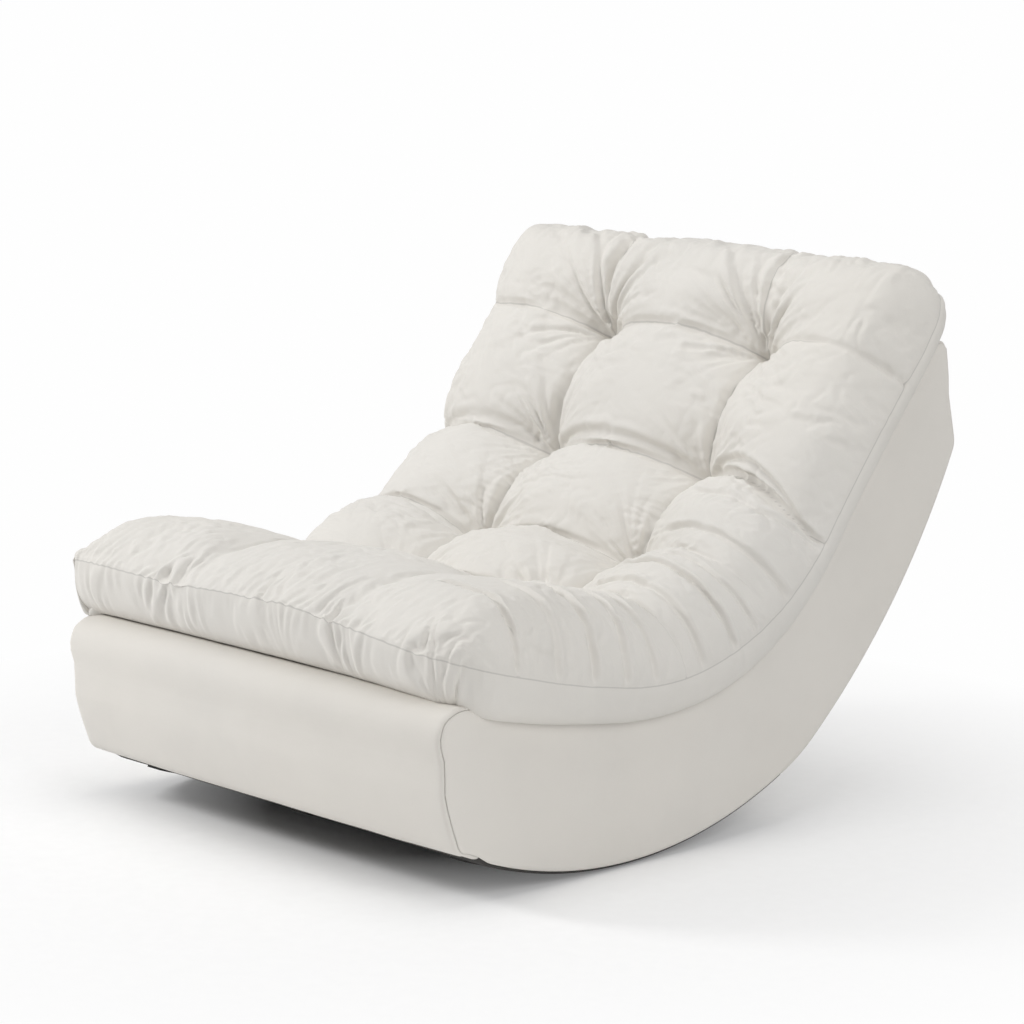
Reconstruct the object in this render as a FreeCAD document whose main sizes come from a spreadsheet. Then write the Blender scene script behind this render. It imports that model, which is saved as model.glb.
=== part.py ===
import FreeCAD, Part
import math
import os

# Upholstered rocking chair: a crescent base that rolls on the floor and a tufted loose cushion.
# Millimetres. The origin is the middle of the floor contact, +X the sitter's left, -Y the front,
# +Z up.

V = FreeCAD.Vector
doc = FreeCAD.newDocument("rocking_chair")
sheet = doc.addObject("Spreadsheet::Sheet", "Sizes")

SIZES = [
    ("base_width", 880, "width of the upholstered base"),
    ("rocker_radius", 772, "radius of the rolling contact"),
    ("contact_flat", 0.5, "depth of the flat land where the chair stands at rest"),
    ("front_reach", 333, "front lower corner ahead of the contact"),
    ("front_lean", 25, "front upper corner ahead of the lower one"),
    ("front_height", 289, "front upper corner above the floor"),
    ("front_top_round", 45, "rounding of the front upper corner"),
    ("front_toe_round", 24, "rounding of the front lower corner"),
    ("deck_fall", 8, "slope of the seat deck, degrees"),
    ("deck_radius", 520, "radius between seat deck and back"),
    ("back_angle", 50.6, "slope of the back, degrees"),
    ("top_reach", 694, "upper edge of the base behind the contact"),
    ("top_height", 730, "upper edge of the base above the floor"),
    ("top_round", 14, "rounding of the upper edge"),
    ("knee_reach", 732, "rear knee behind the contact"),
    ("knee_height", 553, "rear knee above the floor"),
    ("knee_round", 40, "rounding of the rear knee"),
    ("rocker_sweep", 27, "end of the rolling arc, degrees"),
    ("rear_rise", 40, "slope where the rear face starts, degrees"),
    ("bend_radius", 300, "radius between rolling arc and rear face"),
    ("side_round", 10, "rounding of the side edges"),
    ("cover_wall", 2, "cloth thickness"),
    ("foam_wall", 12, "padding on front and deck"),
    ("felt_wall", 5, "padding under and behind the frame"),
    ("side_foam", 10, "padding on the side panels"),
    ("skin_wall", 5, "bent plywood thickness"),
    ("panel_wall", 18, "plywood side panel thickness"),
    ("rib_wall", 18, "middle rib thickness"),
    ("front_wall", 15, "front board thickness"),
    ("strap_wall", 2, "webbing thickness"),
    ("strap_width", 60, "webbing width"),
    ("rail_width", 30, "rail along the profile"),
    ("rail_depth", 45, "rail into the base"),
    ("block_leg", 45, "corner block leg"),
    ("grip_wall", 3, "rubber grip strip thickness"),
    ("grip_width", 32, "rubber grip strip width"),
    ("grip_inset", 80, "grip strip middle in from the side"),
    ("weight_height", 111.5, "counterweight height"),
    ("weight_depth", 88, "counterweight front to back"),
    ("weight_gap", 12, "counterweight clear of rib and corner block"),
    ("screw_radius", 3, "frame screw shank radius"),
    ("screw_head_radius", 6, "frame screw head radius"),
    ("screw_head", 4, "frame screw head height"),
    ("screw_length", 55, "frame screw length"),
    ("front_seam", 296, "seam between front and deck ahead of the contact"),
    ("seat_gap", 5, "cushion underside above the deck, room for the tapes"),
    ("tape_wall", 2, "hook or loop tape thickness"),
    ("tape_width", 45, "tape width along the deck"),
    ("tape_length", 560, "tape length"),
    ("cushion_side", 15, "cushion past the base on each side"),
    ("cushion_edge", 38, "rounding under the cushion's side seam"),
    ("cushion_rim", 70, "rounding over the cushion's side seam"),
    ("nose_depth", 38, "rounding of the cushion's front end"),
    ("tip_depth", 27, "rounding of the cushion's upper end"),
    ("cushion_length", 1327, "cushion length along the deck"),
    ("cushion_overhang", 8, "cushion ahead of the base"),
    ("cushion_crown", 150, "height of the pillows"),
    ("tuft_height", 70, "height of the tufts above the deck"),
    ("tuft_spacing", 354, "distance between the two tuft columns"),
    ("front_pillow", 466, "front row of pillows along the deck"),
    ("row_pitch", 226, "rows of tufts along the deck"),
    ("tie_radius", 1.5, "tuft tie radius"),
    ("knot_radius", 4, "tuft knot radius"),
    ("knot_height", 2.5, "tuft knot height"),
    ("disc_radius", 12, "tuft backing disc radius"),
    ("disc_wall", 3, "tuft backing disc thickness"),
    ("zip_length", 660, "zip length"),
    ("zip_tape_width", 12, "zip tape width, each half"),
    ("zip_tape_wall", 0.8, "zip tape thickness"),
    ("zip_chain_width", 6, "zip chain width"),
    ("zip_chain_wall", 2, "zip chain thickness"),
    ("slider_length", 13, "zip slider length"),
    ("slider_wall", 1.4, "zip slider wall"),
    ("pull_length", 26, "zip pull length"),
    ("pull_width", 5, "zip pull width"),
    ("pull_wall", 1.6, "zip pull thickness"),
    ("pin_radius", 0.8, "zip pull pin radius"),
    ("pin_play", 0.25, "play around the zip pull pin"),
    ("fit_gap", 0.3, "clearance between pieces"),
]
for row, (alias, value, words) in enumerate(SIZES, start=1):
    sheet.set("A%d" % row, words)
    sheet.set("B%d" % row, str(value))
    sheet.setAlias("B%d" % row, alias)
doc.recompute()


def S(alias):
    return float(sheet.get(alias))


GAP = S("fit_gap")
HALF = S("base_width") / 2
nodes = []


def vec(point, x=0.0):
    return V(x, point[0], point[1])


def polar(centre, radius, degrees):
    """Point on a circle, the angle taken from straight down towards the rear."""
    a = math.radians(degrees)
    return (centre[0] + radius * math.sin(a), centre[1] - radius * math.cos(a))


def line(p, q):
    return Part.LineSegment(vec(p), vec(q)).toShape()


def arc(centre, p, q):
    """The short arc from p to q around a centre."""
    a = math.atan2(p[1] - centre[1], p[0] - centre[0])
    b = math.atan2(q[1] - centre[1], q[0] - centre[0])
    turn = (b - a + math.pi) % (2 * math.pi) - math.pi
    radius = math.hypot(p[0] - centre[0], p[1] - centre[1])
    mid = (centre[0] + radius * math.cos(a + turn / 2), centre[1] + radius * math.sin(a + turn / 2))
    return Part.Arc(vec(p), vec(mid), vec(q)).toShape()


def cross_lines(p, d, q, e):
    """Where p + t d meets q + u e."""
    det = d[0] * -e[1] + e[0] * d[1]
    t = ((q[0] - p[0]) * -e[1] + e[0] * (q[1] - p[1])) / det
    return (p[0] + t * d[0], p[1] + t * d[1])


def unit(p, q):
    n = math.hypot(q[0] - p[0], q[1] - p[1])
    return ((q[0] - p[0]) / n, (q[1] - p[1]) / n)


def corner(before, at, after, radius):
    """Rounding of a corner between two lines: first point, centre, last point."""
    a = unit(at, before)
    b = unit(at, after)
    half = math.acos(a[0] * b[0] + a[1] * b[1]) / 2
    run = radius / math.tan(half)
    mid = unit((0, 0), (a[0] + b[0], a[1] + b[1]))
    reach = radius / math.sin(half)
    return (
        (at[0] + a[0] * run, at[1] + a[1] * run),
        (at[0] + mid[0] * reach, at[1] + mid[1] * reach),
        (at[0] + b[0] * run, at[1] + b[1] * run),
    )


def round_to_arc(p, d, inward, centre, big, radius, near):
    """Rounding between a line and the inside of a circle: point on line, centre, point on circle."""
    base = (p[0] + inward[0] * radius, p[1] + inward[1] * radius)
    w = (base[0] - centre[0], base[1] - centre[1])
    b = w[0] * d[0] + w[1] * d[1]
    c = w[0] ** 2 + w[1] ** 2 - (big - radius) ** 2
    root = math.sqrt(b * b - c)
    hubs = []
    for t in (-b - root, -b + root):
        hubs.append((base[0] + d[0] * t, base[1] + d[1] * t))
    hub = min(hubs, key=lambda h: math.hypot(h[0] - near[0], h[1] - near[1]))
    foot = (hub[0] - inward[0] * radius, hub[1] - inward[1] * radius)
    out = unit(centre, hub)
    return foot, hub, (centre[0] + out[0] * big, centre[1] + out[1] * big)


# The outline of the base, from the rolling arc round to the front.
ROLL = (0.0, S("rocker_radius") - S("contact_flat"))
R1 = S("rocker_radius") - S("grip_wall")
J1 = polar(ROLL, R1, S("rocker_sweep"))
C2 = polar(J1, -S("bend_radius"), S("rocker_sweep"))
J2 = polar(C2, S("bend_radius"), S("rear_rise"))
KNEE = (S("knee_reach"), S("knee_height"))
chord = math.degrees(math.atan2(KNEE[1] - J2[1], KNEE[0] - J2[0]))
R3 = math.hypot(KNEE[0] - J2[0], KNEE[1] - J2[1])
R3 = R3 / (2 * math.sin(math.radians(chord - S("rear_rise"))))
C3 = polar(J2, -R3, S("rear_rise"))
TOP = (S("top_reach"), S("top_height"))
TOE = (-S("front_reach"), ROLL[1] - math.sqrt(R1 ** 2 - S("front_reach") ** 2))
LIP = (-S("front_reach") - S("front_lean"), S("front_height"))
fall = math.radians(S("deck_fall"))
rise = math.radians(S("back_angle"))
FALL = (math.cos(fall), -math.sin(fall))
RISE = (math.cos(rise), math.sin(rise))
CREASE = cross_lines(LIP, FALL, TOP, RISE)
run = S("deck_radius") * math.tan((fall + rise) / 2)
T1 = (CREASE[0] - FALL[0] * run, CREASE[1] - FALL[1] * run)
T2 = (CREASE[0] + RISE[0] * run, CREASE[1] + RISE[1] * run)
DECK = (T1[0] - FALL[1] * S("deck_radius"), T1[1] + FALL[0] * S("deck_radius"))

lip = corner(TOE, LIP, T1, S("front_top_round"))
peak = corner(T2, TOP, KNEE, S("top_round"))
up = unit(KNEE, TOP)
knee = round_to_arc(KNEE, up, (-up[1], up[0]), C3, R3, S("knee_round"), KNEE)
front = unit(TOE, LIP)
toe = round_to_arc(TOE, front, (front[1], -front[0]), ROLL, R1, S("front_toe_round"), TOE)
outline = Part.Wire([
    arc(ROLL, toe[2], J1),
    arc(C2, J1, J2),
    arc(C3, J2, knee[2]),
    arc(knee[1], knee[2], knee[0]),
    line(knee[0], peak[2]),
    arc(peak[1], peak[2], peak[0]),
    line(peak[0], T2),
    arc(DECK, T2, T1),
    line(T1, lip[2]),
    arc(lip[1], lip[2], lip[0]),
    line(lip[0], toe[0]),
    arc(toe[1], toe[0], toe[2]),
])


def ring_wire(inset):
    """The outline, moved inwards."""
    if abs(inset) < 1e-9:
        return outline
    return outline.makeOffset2D(-inset)


def prism(wire, low, high):
    """A closed outline in the YZ plane carried from one X to another."""
    shape = Part.Face(wire).extrude(V(high - low, 0, 0))
    shape.translate(V(low, 0, 0))
    return shape


def polygon(points):
    return Part.makePolygon([vec(p) for p in points] + [vec(points[0])])


def ring(outer, inner, half, zone):
    """A layer of the base between two insets, in one zone."""
    band = prism(ring_wire(outer), -half, half).cut(prism(ring_wire(inner), -half, half))
    return band.common(prism(zone, -half, half))


def one(shape):
    """The solid of a shape that should hold just one."""
    solids = shape.Solids
    if len(solids) != 1:
        raise ValueError("expected one solid, found %d" % len(solids))
    return solids[0]


def piece(label, shape):
    """A piece whose outline comes from the curves above."""
    obj = doc.addObject("Part::Feature", label)
    obj.Shape = shape
    obj.Label = label
    nodes.append(obj)
    return obj


def group(label, solids):
    return piece(label, Part.makeCompound(solids))


# Zones of the upholstery: front, deck, underside and back.
FAR = 3000.0
seam = -S("front_seam")
deep = S("foam_wall") + S("skin_wall") + S("rail_depth")


def deck_at(s):
    """Point and slope on the deck, s along it from the cushion's front end."""
    lead = (T1[0] - LIP[0]) / FALL[0] + S("cushion_overhang")
    bend = S("deck_radius") * (fall + rise)
    if s <= lead:
        return (T1[0] - FALL[0] * (lead - s), T1[1] - FALL[1] * (lead - s)), -fall
    if s <= lead + bend:
        a = -fall + (s - lead) / S("deck_radius")
        return polar(DECK, S("deck_radius"), math.degrees(a)), a
    more = s - lead - bend
    return (T2[0] + RISE[0] * more, T2[1] + RISE[1] * more), rise


def lifted(s, n):
    """Point at height n over the deck."""
    p, a = deck_at(s)
    return (p[0] - n * math.sin(a), p[1] + n * math.cos(a))


mid_line = []
deck_end = (T1[0] - LIP[0]) / FALL[0] + S("cushion_overhang") + S("deck_radius") * (fall + rise)
for share in (0.15, 0.35, 0.55, 0.75, 0.9, 1.0):
    mid_line.append(lifted(deck_end * share, -deep))
edge = (TOP[0] - up[0] * 95, TOP[1] - up[1] * 95)
mid_line = [p for p in mid_line if p[0] > seam + 20]
mid_start = (seam, mid_line[0][1])
inner_top = (edge[0] - 30 * up[1], edge[1] + 30 * up[0])
outer_top = (edge[0] + 400 * up[1], edge[1] - 400 * up[0])
split = polar(ROLL, R1, S("rocker_sweep") - 1)
split_in = polar(ROLL, R1 - deep, S("rocker_sweep") - 1)
split_out = polar(ROLL, R1 + 400, S("rocker_sweep") - 1)

FRONT = polygon([(-FAR, -FAR), (seam, -FAR), (seam, FAR), (-FAR, FAR)])
LOWER = polygon([mid_start] + mid_line + [inner_top, outer_top, (FAR, -FAR), (seam, -FAR)])
UPPER = polygon([mid_start] + mid_line + [inner_top, outer_top, (FAR, FAR), (seam, FAR)])
BEFORE = polygon([(-FAR, -FAR), (split_out[0], -FAR), split_out, split_in, (split_in[0], FAR), (-FAR, FAR)])

# Cloth cover: one skin with rounded side edges, cut into its sewn panels.
wall = S("cover_wall")


def side_edges(shape, half, both=True):
    picked = []
    for e in shape.Edges:
        box = e.BoundBox
        if box.XLength > 1e-6:
            continue
        if abs(box.XMin - half) < 1e-6 or (both and abs(box.XMin + half) < 1e-6):
            picked.append(e)
    return picked


skin = prism(outline, -HALF, HALF)
skin = skin.makeFillet(S("side_round"), side_edges(skin, HALF))
hollow = prism(ring_wire(wall), -HALF + wall, HALF - wall)
hollow = hollow.makeFillet(S("side_round") - wall, side_edges(hollow, HALF - wall))
shell = skin.cut(hollow)
sew = HALF - S("side_round") - 1
middle = Part.makeBox(2 * sew, 2 * FAR, 2 * FAR, V(-sew, -FAR, -FAR))
field = shell.common(middle)
flank = Part.makeBox(HALF, 2 * FAR, 2 * FAR, V(sew, -FAR, -FAR))
left_flank = shell.common(flank)
under = field.common(prism(LOWER, -HALF, HALF))
piece("left_side_cover", one(left_flank))
piece("right_side_cover", one(left_flank.mirror(V(0, 0, 0), V(1, 0, 0))))
piece("front_cover", one(field.common(prism(FRONT, -HALF, HALF))))
piece("deck_cover", one(field.common(prism(UPPER, -HALF, HALF))))
piece("underside_cloth", one(under.common(prism(BEFORE, -HALF, HALF))))
piece("back_cover", one(under.cut(prism(BEFORE, -HALF, HALF))))

# Padding.
pad_in = wall + GAP
pad_out = wall + S("foam_wall")
foam_half = HALF - wall - S("side_foam") - GAP
slab = prism(ring_wire(pad_in), foam_half + GAP, HALF - wall)
slab = slab.makeFillet(S("side_round") - wall, side_edges(slab, HALF - wall, False))
piece("left_side_padding", slab)
piece("right_side_padding", slab.mirror(V(0, 0, 0), V(1, 0, 0)))
piece("front_padding", one(ring(pad_in, pad_out, foam_half, FRONT)))
piece("deck_padding", one(ring(pad_in, pad_out, foam_half, UPPER)))
felt_out = wall + S("felt_wall")
piece("back_padding", one(ring(pad_in, felt_out, foam_half, LOWER)))

# Bent plywood under the frame, webbing over it.
frame_in = pad_out + GAP
skin_in = felt_out + GAP
skin_out = skin_in + S("skin_wall")
strap_out = frame_in + S("strap_wall")
piece("rocker_skin", one(ring(skin_in, skin_out, foam_half, LOWER)))
deck_run = deck_end + math.hypot(TOP[0] - T2[0], TOP[1] - T2[1])
strap_band = ring(frame_in, strap_out, foam_half - 4, UPPER)
straps = []
first = S("cushion_overhang") - (LIP[0] - seam) + S("strap_width")
last = deck_run - 2.2 * S("strap_width")
count = int((last - first) // (1.75 * S("strap_width"))) + 1
for i in range(count):
    s = first + (last - first) * i / (count - 1)
    p, a = deck_at(s)
    box = Part.makeBox(2 * HALF, S("strap_width"), 120, V(-HALF, -S("strap_width") / 2, -60))
    box.rotate(V(0, 0, 0), V(1, 0, 0), math.degrees(a))
    box.translate(vec(p))
    straps.append(one(strap_band.common(box)))
group("seat_webbing", straps)

# Front board, a flat board behind the front padding.
panel_in = foam_half - S("panel_wall")
lean = math.degrees(math.atan2(front[1], front[0])) - 90
board_back = frame_in + S("front_wall")


def behind_front(depth, height):
    """Point behind the front face, height taken along it from the lower corner."""
    return (TOE[0] + front[0] * height + front[1] * depth, TOE[1] + front[1] * height - front[0] * depth)


front_run = math.hypot(LIP[0] - TOE[0], LIP[1] - TOE[1])
board_low = max(math.hypot(toe[0][0] - TOE[0], toe[0][1] - TOE[1]), skin_out + 5)
board_high = math.hypot(lip[0][0] - TOE[0], lip[0][1] - TOE[1])
board = doc.addObject("Part::Box", "front_board")
board.Label = "front_board"
board.setExpression("Height", "%.6f" % (board_high - board_low))
board.setExpression("Width", "Sizes.front_wall")
board.setExpression(
    "Length",
    "Sizes.base_width - 2 * (Sizes.cover_wall + Sizes.side_foam + Sizes.fit_gap)",
)
corner_point = behind_front(frame_in, board_low)
board.Placement = FreeCAD.Placement(vec(corner_point, -foam_half), FreeCAD.Rotation(V(1, 0, 0), lean))
nodes.append(board)
doc.recompute()


def grown_box(width, height, point, degrees, extra, half):
    """A box across the chair with its corner at a point of the profile, made larger all round."""
    box = Part.makeBox(2 * half, width + 2 * extra, height + 2 * extra, V(-half, -extra, -extra))
    box.rotate(V(0, 0, 0), V(1, 0, 0), degrees)
    box.translate(vec(point))
    return box


board_room = grown_box(S("front_wall"), board_high - board_low, corner_point, lean, GAP, FAR)
ahead = grown_box(FAR, FAR, behind_front(-FAR + board_back + GAP, -FAR / 2), lean, 0, FAR)

# Plywood panels and the middle rib share one profile.
start_in = min(frame_in, skin_in)
body = prism(ring_wire(start_in), panel_in, foam_half)
for depth, zone in ((skin_out + GAP, LOWER), (strap_out + GAP, UPPER), (frame_in, FRONT)):
    body = body.cut(ring(start_in - 1, depth, HALF, zone))
body = body.cut(ahead)
profile = max(body.Solids, key=lambda solid: solid.Volume)

# Rails across the chair, at the deck and at the underside.
RAILS = []


def deck_rail(name, s):
    p, a = deck_at(s)
    drop = strap_out + GAP
    RAILS.append((name, (p[0] + drop * math.sin(a), p[1] - drop * math.cos(a)), a, -1))


def low_rail(name, centre, radius, degrees):
    lift = skin_out + GAP + S("rail_width") ** 2 / (8 * (radius - skin_out)) + 0.05
    RAILS.append((name, polar(centre, radius - lift, degrees), math.radians(degrees), 1))


lead = (T1[0] - LIP[0]) / FALL[0] + S("cushion_overhang")
bend = S("deck_radius") * (fall + rise)
back_run = math.hypot(TOP[0] - T2[0], TOP[1] - T2[1])
deck_rail("front_seat_rail", lead * 0.55)
deck_rail("mid_seat_rail", lead + bend * 0.25)
deck_rail("lumbar_rail", lead + bend * 0.85)
deck_rail("back_rail", lead + bend + back_run * 0.42)
deck_rail("top_rail", lead + bend + back_run * 0.74)
low_rail("toe_rail", ROLL, R1, -13)
low_rail("keel_rail", ROLL, R1, 5)
low_rail("heel_rail", ROLL, R1, S("rocker_sweep") - 5)
low_rail("rear_rail", C3, R3, S("rear_rise") + (chord - S("rear_rise")) * 1.15)

screws = []
screw_rooms = []
rail_rooms = []
for name, p, a, side in RAILS:
    obj = doc.addObject("Part::Box", name)
    obj.Label = name
    obj.setExpression("Width", "Sizes.rail_width")
    obj.setExpression("Height", "Sizes.rail_depth")
    obj.setExpression(
        "Length",
        "Sizes.base_width - 2 * (Sizes.cover_wall + Sizes.side_foam"
        " + Sizes.panel_wall + 2 * Sizes.fit_gap)",
    )
    half = panel_in - GAP
    w = S("rail_width") / 2
    d = S("rail_depth")
    n = (-math.sin(a), math.cos(a))
    t = (math.cos(a), math.sin(a))
    low = 0.0 if side > 0 else -d
    at = (p[0] - t[0] * w + n[0] * low, p[1] - t[1] * w + n[1] * low)
    obj.Placement = FreeCAD.Placement(vec(at, -half), FreeCAD.Rotation(V(1, 0, 0), math.degrees(a)))
    rail_rooms.append(grown_box(2 * w, d, at, math.degrees(a), GAP, FAR))
    nodes.append(obj)
    middle_point = (p[0] + n[0] * side * d / 2, p[1] + n[1] * side * d / 2)
    for hand in (1, -1):
        head = V(hand * foam_half, middle_point[0], middle_point[1])
        inward = V(-hand, 0, 0)
        taper = Part.makeCone(S("screw_head_radius"), S("screw_radius"), S("screw_head"), head, inward)
        shank = Part.makeCylinder(S("screw_radius"), S("screw_length"), head, inward)
        screws.append(one(shank.fuse(taper).removeSplitter()))
        room = Part.makeCylinder(S("screw_radius") + 0.1, S("screw_length") + 0.5, head, inward)
        wide = Part.makeCone(S("screw_head_radius") + 0.1, S("screw_radius") + 0.1,
                             S("screw_head"), head, inward)
        screw_rooms.append(room.fuse(wide).removeSplitter())
doc.recompute()
group("frame_screws", screws)
holes = Part.makeCompound(screw_rooms)

panel = profile.cut(holes)
piece("left_side_panel", one(panel))
piece("right_side_panel", one(panel.mirror(V(0, 0, 0), V(1, 0, 0))))
rib = profile.copy()
rib.translate(V(-panel_in - S("panel_wall") / 2, 0, 0))
if abs(S("rib_wall") - S("panel_wall")) > 1e-9:
    rib_half = S("rib_wall") / 2
    slim = Part.makeBox(2 * rib_half, 2 * FAR, 2 * FAR, V(-rib_half, -FAR, -FAR))
    rib = rib.common(slim) if S("rib_wall") < S("panel_wall") else rib
for room in rail_rooms:
    rib = rib.cut(room)
rib = max(rib.Solids, key=lambda solid: solid.Volume)
piece("middle_rib", rib)

# Rails keep pilot holes for the screws.
for i, obj in enumerate([n for n in nodes if n.Label in [r[0] for r in RAILS]]):
    tool = doc.addObject("Part::Feature", obj.Label + "_pilot")
    tool.Shape = Part.makeCompound(screw_rooms[2 * i:2 * i + 2])
    drilled = doc.addObject("Part::Cut", obj.Label + "_drilled")
    drilled.Base = obj
    drilled.Tool = tool
    name = obj.Label
    obj.Label = name + "_blank"
    drilled.Label = name
    nodes[nodes.index(obj)] = drilled
doc.recompute()

# Corner blocks behind the front board, against the side panels.
blocks = []
for hand in (1, -1):
    leg = S("block_leg")
    x = hand * (panel_in - GAP)
    tri = Part.makePolygon([V(x, GAP, 0), V(x - hand * leg, GAP, 0), V(x, leg, 0), V(x, GAP, 0)])
    block = Part.Face(tri).extrude(V(0, 0, board_high - board_low - 20))
    block.rotate(V(0, 0, 0), V(1, 0, 0), lean)
    block.translate(vec(behind_front(board_back, board_low + 15)))
    blocks.append(block)
group("corner_blocks", blocks)

# Counterweights behind the front board, one on each side of the rib.
weights = []
for hand in (1, -1):
    start = S("rib_wall") / 2 + S("weight_gap")
    length = panel_in - GAP - S("block_leg") - S("weight_gap") - start
    low_x = start if hand > 0 else -start - length
    bar = Part.makeBox(length, S("weight_depth"), S("weight_height"), V(low_x, GAP, 0))
    bar.rotate(V(0, 0, 0), V(1, 0, 0), lean)
    bar.translate(vec(behind_front(board_back, board_low + 4)))
    weights.append(bar)
group("counterweights", weights)

# Rubber grip strips, flat where the chair stands at rest.
strip = Part.Wire([
    arc(ROLL, polar(ROLL, S("rocker_radius"), -20), polar(ROLL, S("rocker_radius"), S("rocker_sweep") - 3)),
    line(polar(ROLL, S("rocker_radius"), S("rocker_sweep") - 3), polar(ROLL, R1 + 0.05, S("rocker_sweep") - 3)),
    arc(ROLL, polar(ROLL, R1 + 0.05, S("rocker_sweep") - 3), polar(ROLL, R1 + 0.05, -20)),
    line(polar(ROLL, R1 + 0.05, -20), polar(ROLL, S("rocker_radius"), -20)),
])
grip_x = HALF - S("grip_inset")
floor_cut = Part.makeBox(4 * FAR, 4 * FAR, FAR, V(-2 * FAR, -2 * FAR, -FAR))
for name, x in (("left_grip_strip", grip_x), ("middle_grip_strip", 0), ("right_grip_strip", -grip_x)):
    band = prism(strip, x - S("grip_width") / 2, x + S("grip_width") / 2)
    piece(name, one(band.cut(floor_cut)))

# Hook and loop tapes between deck and cushion.
half_tape = S("tape_length") / 2
wide_tape = S("tape_width")
loops = []
hooks = []
for s in (lead * 0.5, lead + bend * 0.55, lead + bend + back_run * 0.45):
    p, a = deck_at(s)
    box = Part.makeBox(2 * half_tape, wide_tape, 120, V(-half_tape, -wide_tape / 2, -60))
    box.rotate(V(0, 0, 0), V(1, 0, 0), math.degrees(a))
    box.translate(vec(p))
    low = 0.05
    band = prism(ring_wire(-low - S("tape_wall")), -HALF, HALF).cut(prism(ring_wire(-low), -HALF, HALF))
    loops.append(one(band.common(box)))
    low = low + S("tape_wall") + GAP
    band = prism(ring_wire(-low - S("tape_wall")), -HALF, HALF).cut(prism(ring_wire(-low), -HALF, HALF))
    hooks.append(one(band.common(box)))
group("deck_loop_tapes", loops)
group("cushion_hook_tapes", hooks)

# Cushion: rows of three pillows, drawn in at the tufts.
rows = [S("front_pillow") + S("row_pitch") * i for i in range(4)]
end = S("cushion_length")
full = HALF + S("cushion_side")
nd = S("nose_depth")
td = S("tip_depth")
xt = S("tuft_spacing") / 2
k = S("cushion_crown") / 150.0
th = S("tuft_height")
g = S("seat_gap")


def mid(a, b):
    return (a + b) / 2


# Rows of pillows, each from crease over crown to crease. A station gives the place along the deck,
# the half width and the heights of underside, seam, outer crown, middle crown and column crease.
nose = (0, full - 22, 38 * k, 82 * k, 106 * k, 108 * k, 97 * k)
chin = (nd / 2, full - 9, g + 12 * k, 80 * k, 133 * k, 136 * k, 116 * k)
brow = (nd, full - 4, g + 4 * k, 76 * k, 145 * k, 149 * k, 125 * k)
roll = (S("front_pillow") * 0.28, full, g, 58 * k, 158 * k, 165 * k, 130 * k)
crease1 = (rows[0], full, g, 42 * k, 118 * k, 116 * k, th)
crease2 = (rows[1], full, g, 42 * k, 118 * k, 114 * k, th)
crease3 = (rows[2], full - 2, g, 42 * k, 98 * k, 102 * k, th - 8)
crease4 = (rows[3], full - 4, g, 45 * k, 110 * k, 104 * k, th)
rim = (end - td, full - 14, g + 3 * k, 58 * k, 126 * k, 138 * k, 106 * k)
tip = (end, full - 40, 24 * k, 56 * k, 92 * k, 98 * k, 86 * k)
SPANS = [
    (nose, chin, brow),
    (brow, (mid(nd, roll[0]), full - 1, g + 0.8 * k, 66 * k, 154 * k, 159 * k, 130 * k), roll),
    (roll, (mid(roll[0], rows[0]), full, g, 46 * k, 150 * k, 156 * k, 112 * k), crease1),
    (crease1, (mid(rows[0], rows[1]), full, g, 42 * k, 154 * k, 161 * k, 111 * k), crease2),
    (crease2, (mid(rows[1], rows[2]), full - 1, g, 42 * k, 136 * k, 149 * k, 104 * k), crease3),
    (crease3, (mid(rows[2], rows[3]), full - 3, g, 43 * k, 122 * k, 141 * k, 98 * k), crease4),
    (crease4, (mid(rows[3], end - td), full - 7, g, 50 * k, 138 * k, 151 * k, 111 * k), rim),
    (rim, None, tip),
]


def between(span, s):
    """The station at s, on the curve through a row's three stations."""
    a, m, b = span
    if m is None:
        u = (s - a[0]) / (b[0] - a[0])
        return (s,) + tuple(x + (y - x) * u for x, y in zip(a[1:], b[1:]))
    la = (s - m[0]) * (s - b[0]) / ((a[0] - m[0]) * (a[0] - b[0]))
    lm = (s - a[0]) * (s - b[0]) / ((m[0] - a[0]) * (m[0] - b[0]))
    lb = (s - a[0]) * (s - m[0]) / ((b[0] - a[0]) * (b[0] - m[0]))
    return (s,) + tuple(x * la + y * lm + z * lb for x, y, z in zip(a[1:], m[1:], b[1:]))


def sub_spans(span):
    """A row cut where the deck changes from straight to curved, three stations in each."""
    cuts = [span[0][0]]
    for turn in (lead, lead + bend):
        if span[0][0] + 12 < turn < span[2][0] - 12:
            cuts.append(turn)
    cuts.append(span[2][0])
    parts = []
    for s0, s1 in zip(cuts, cuts[1:]):
        if span[1] is None:
            parts.append([span[0], span[2]])
        elif len(cuts) == 2:
            parts.append(list(span))
        else:
            parts.append([between(span, s0), between(span, mid(s0, s1)), between(span, s1)])
    return parts


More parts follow.
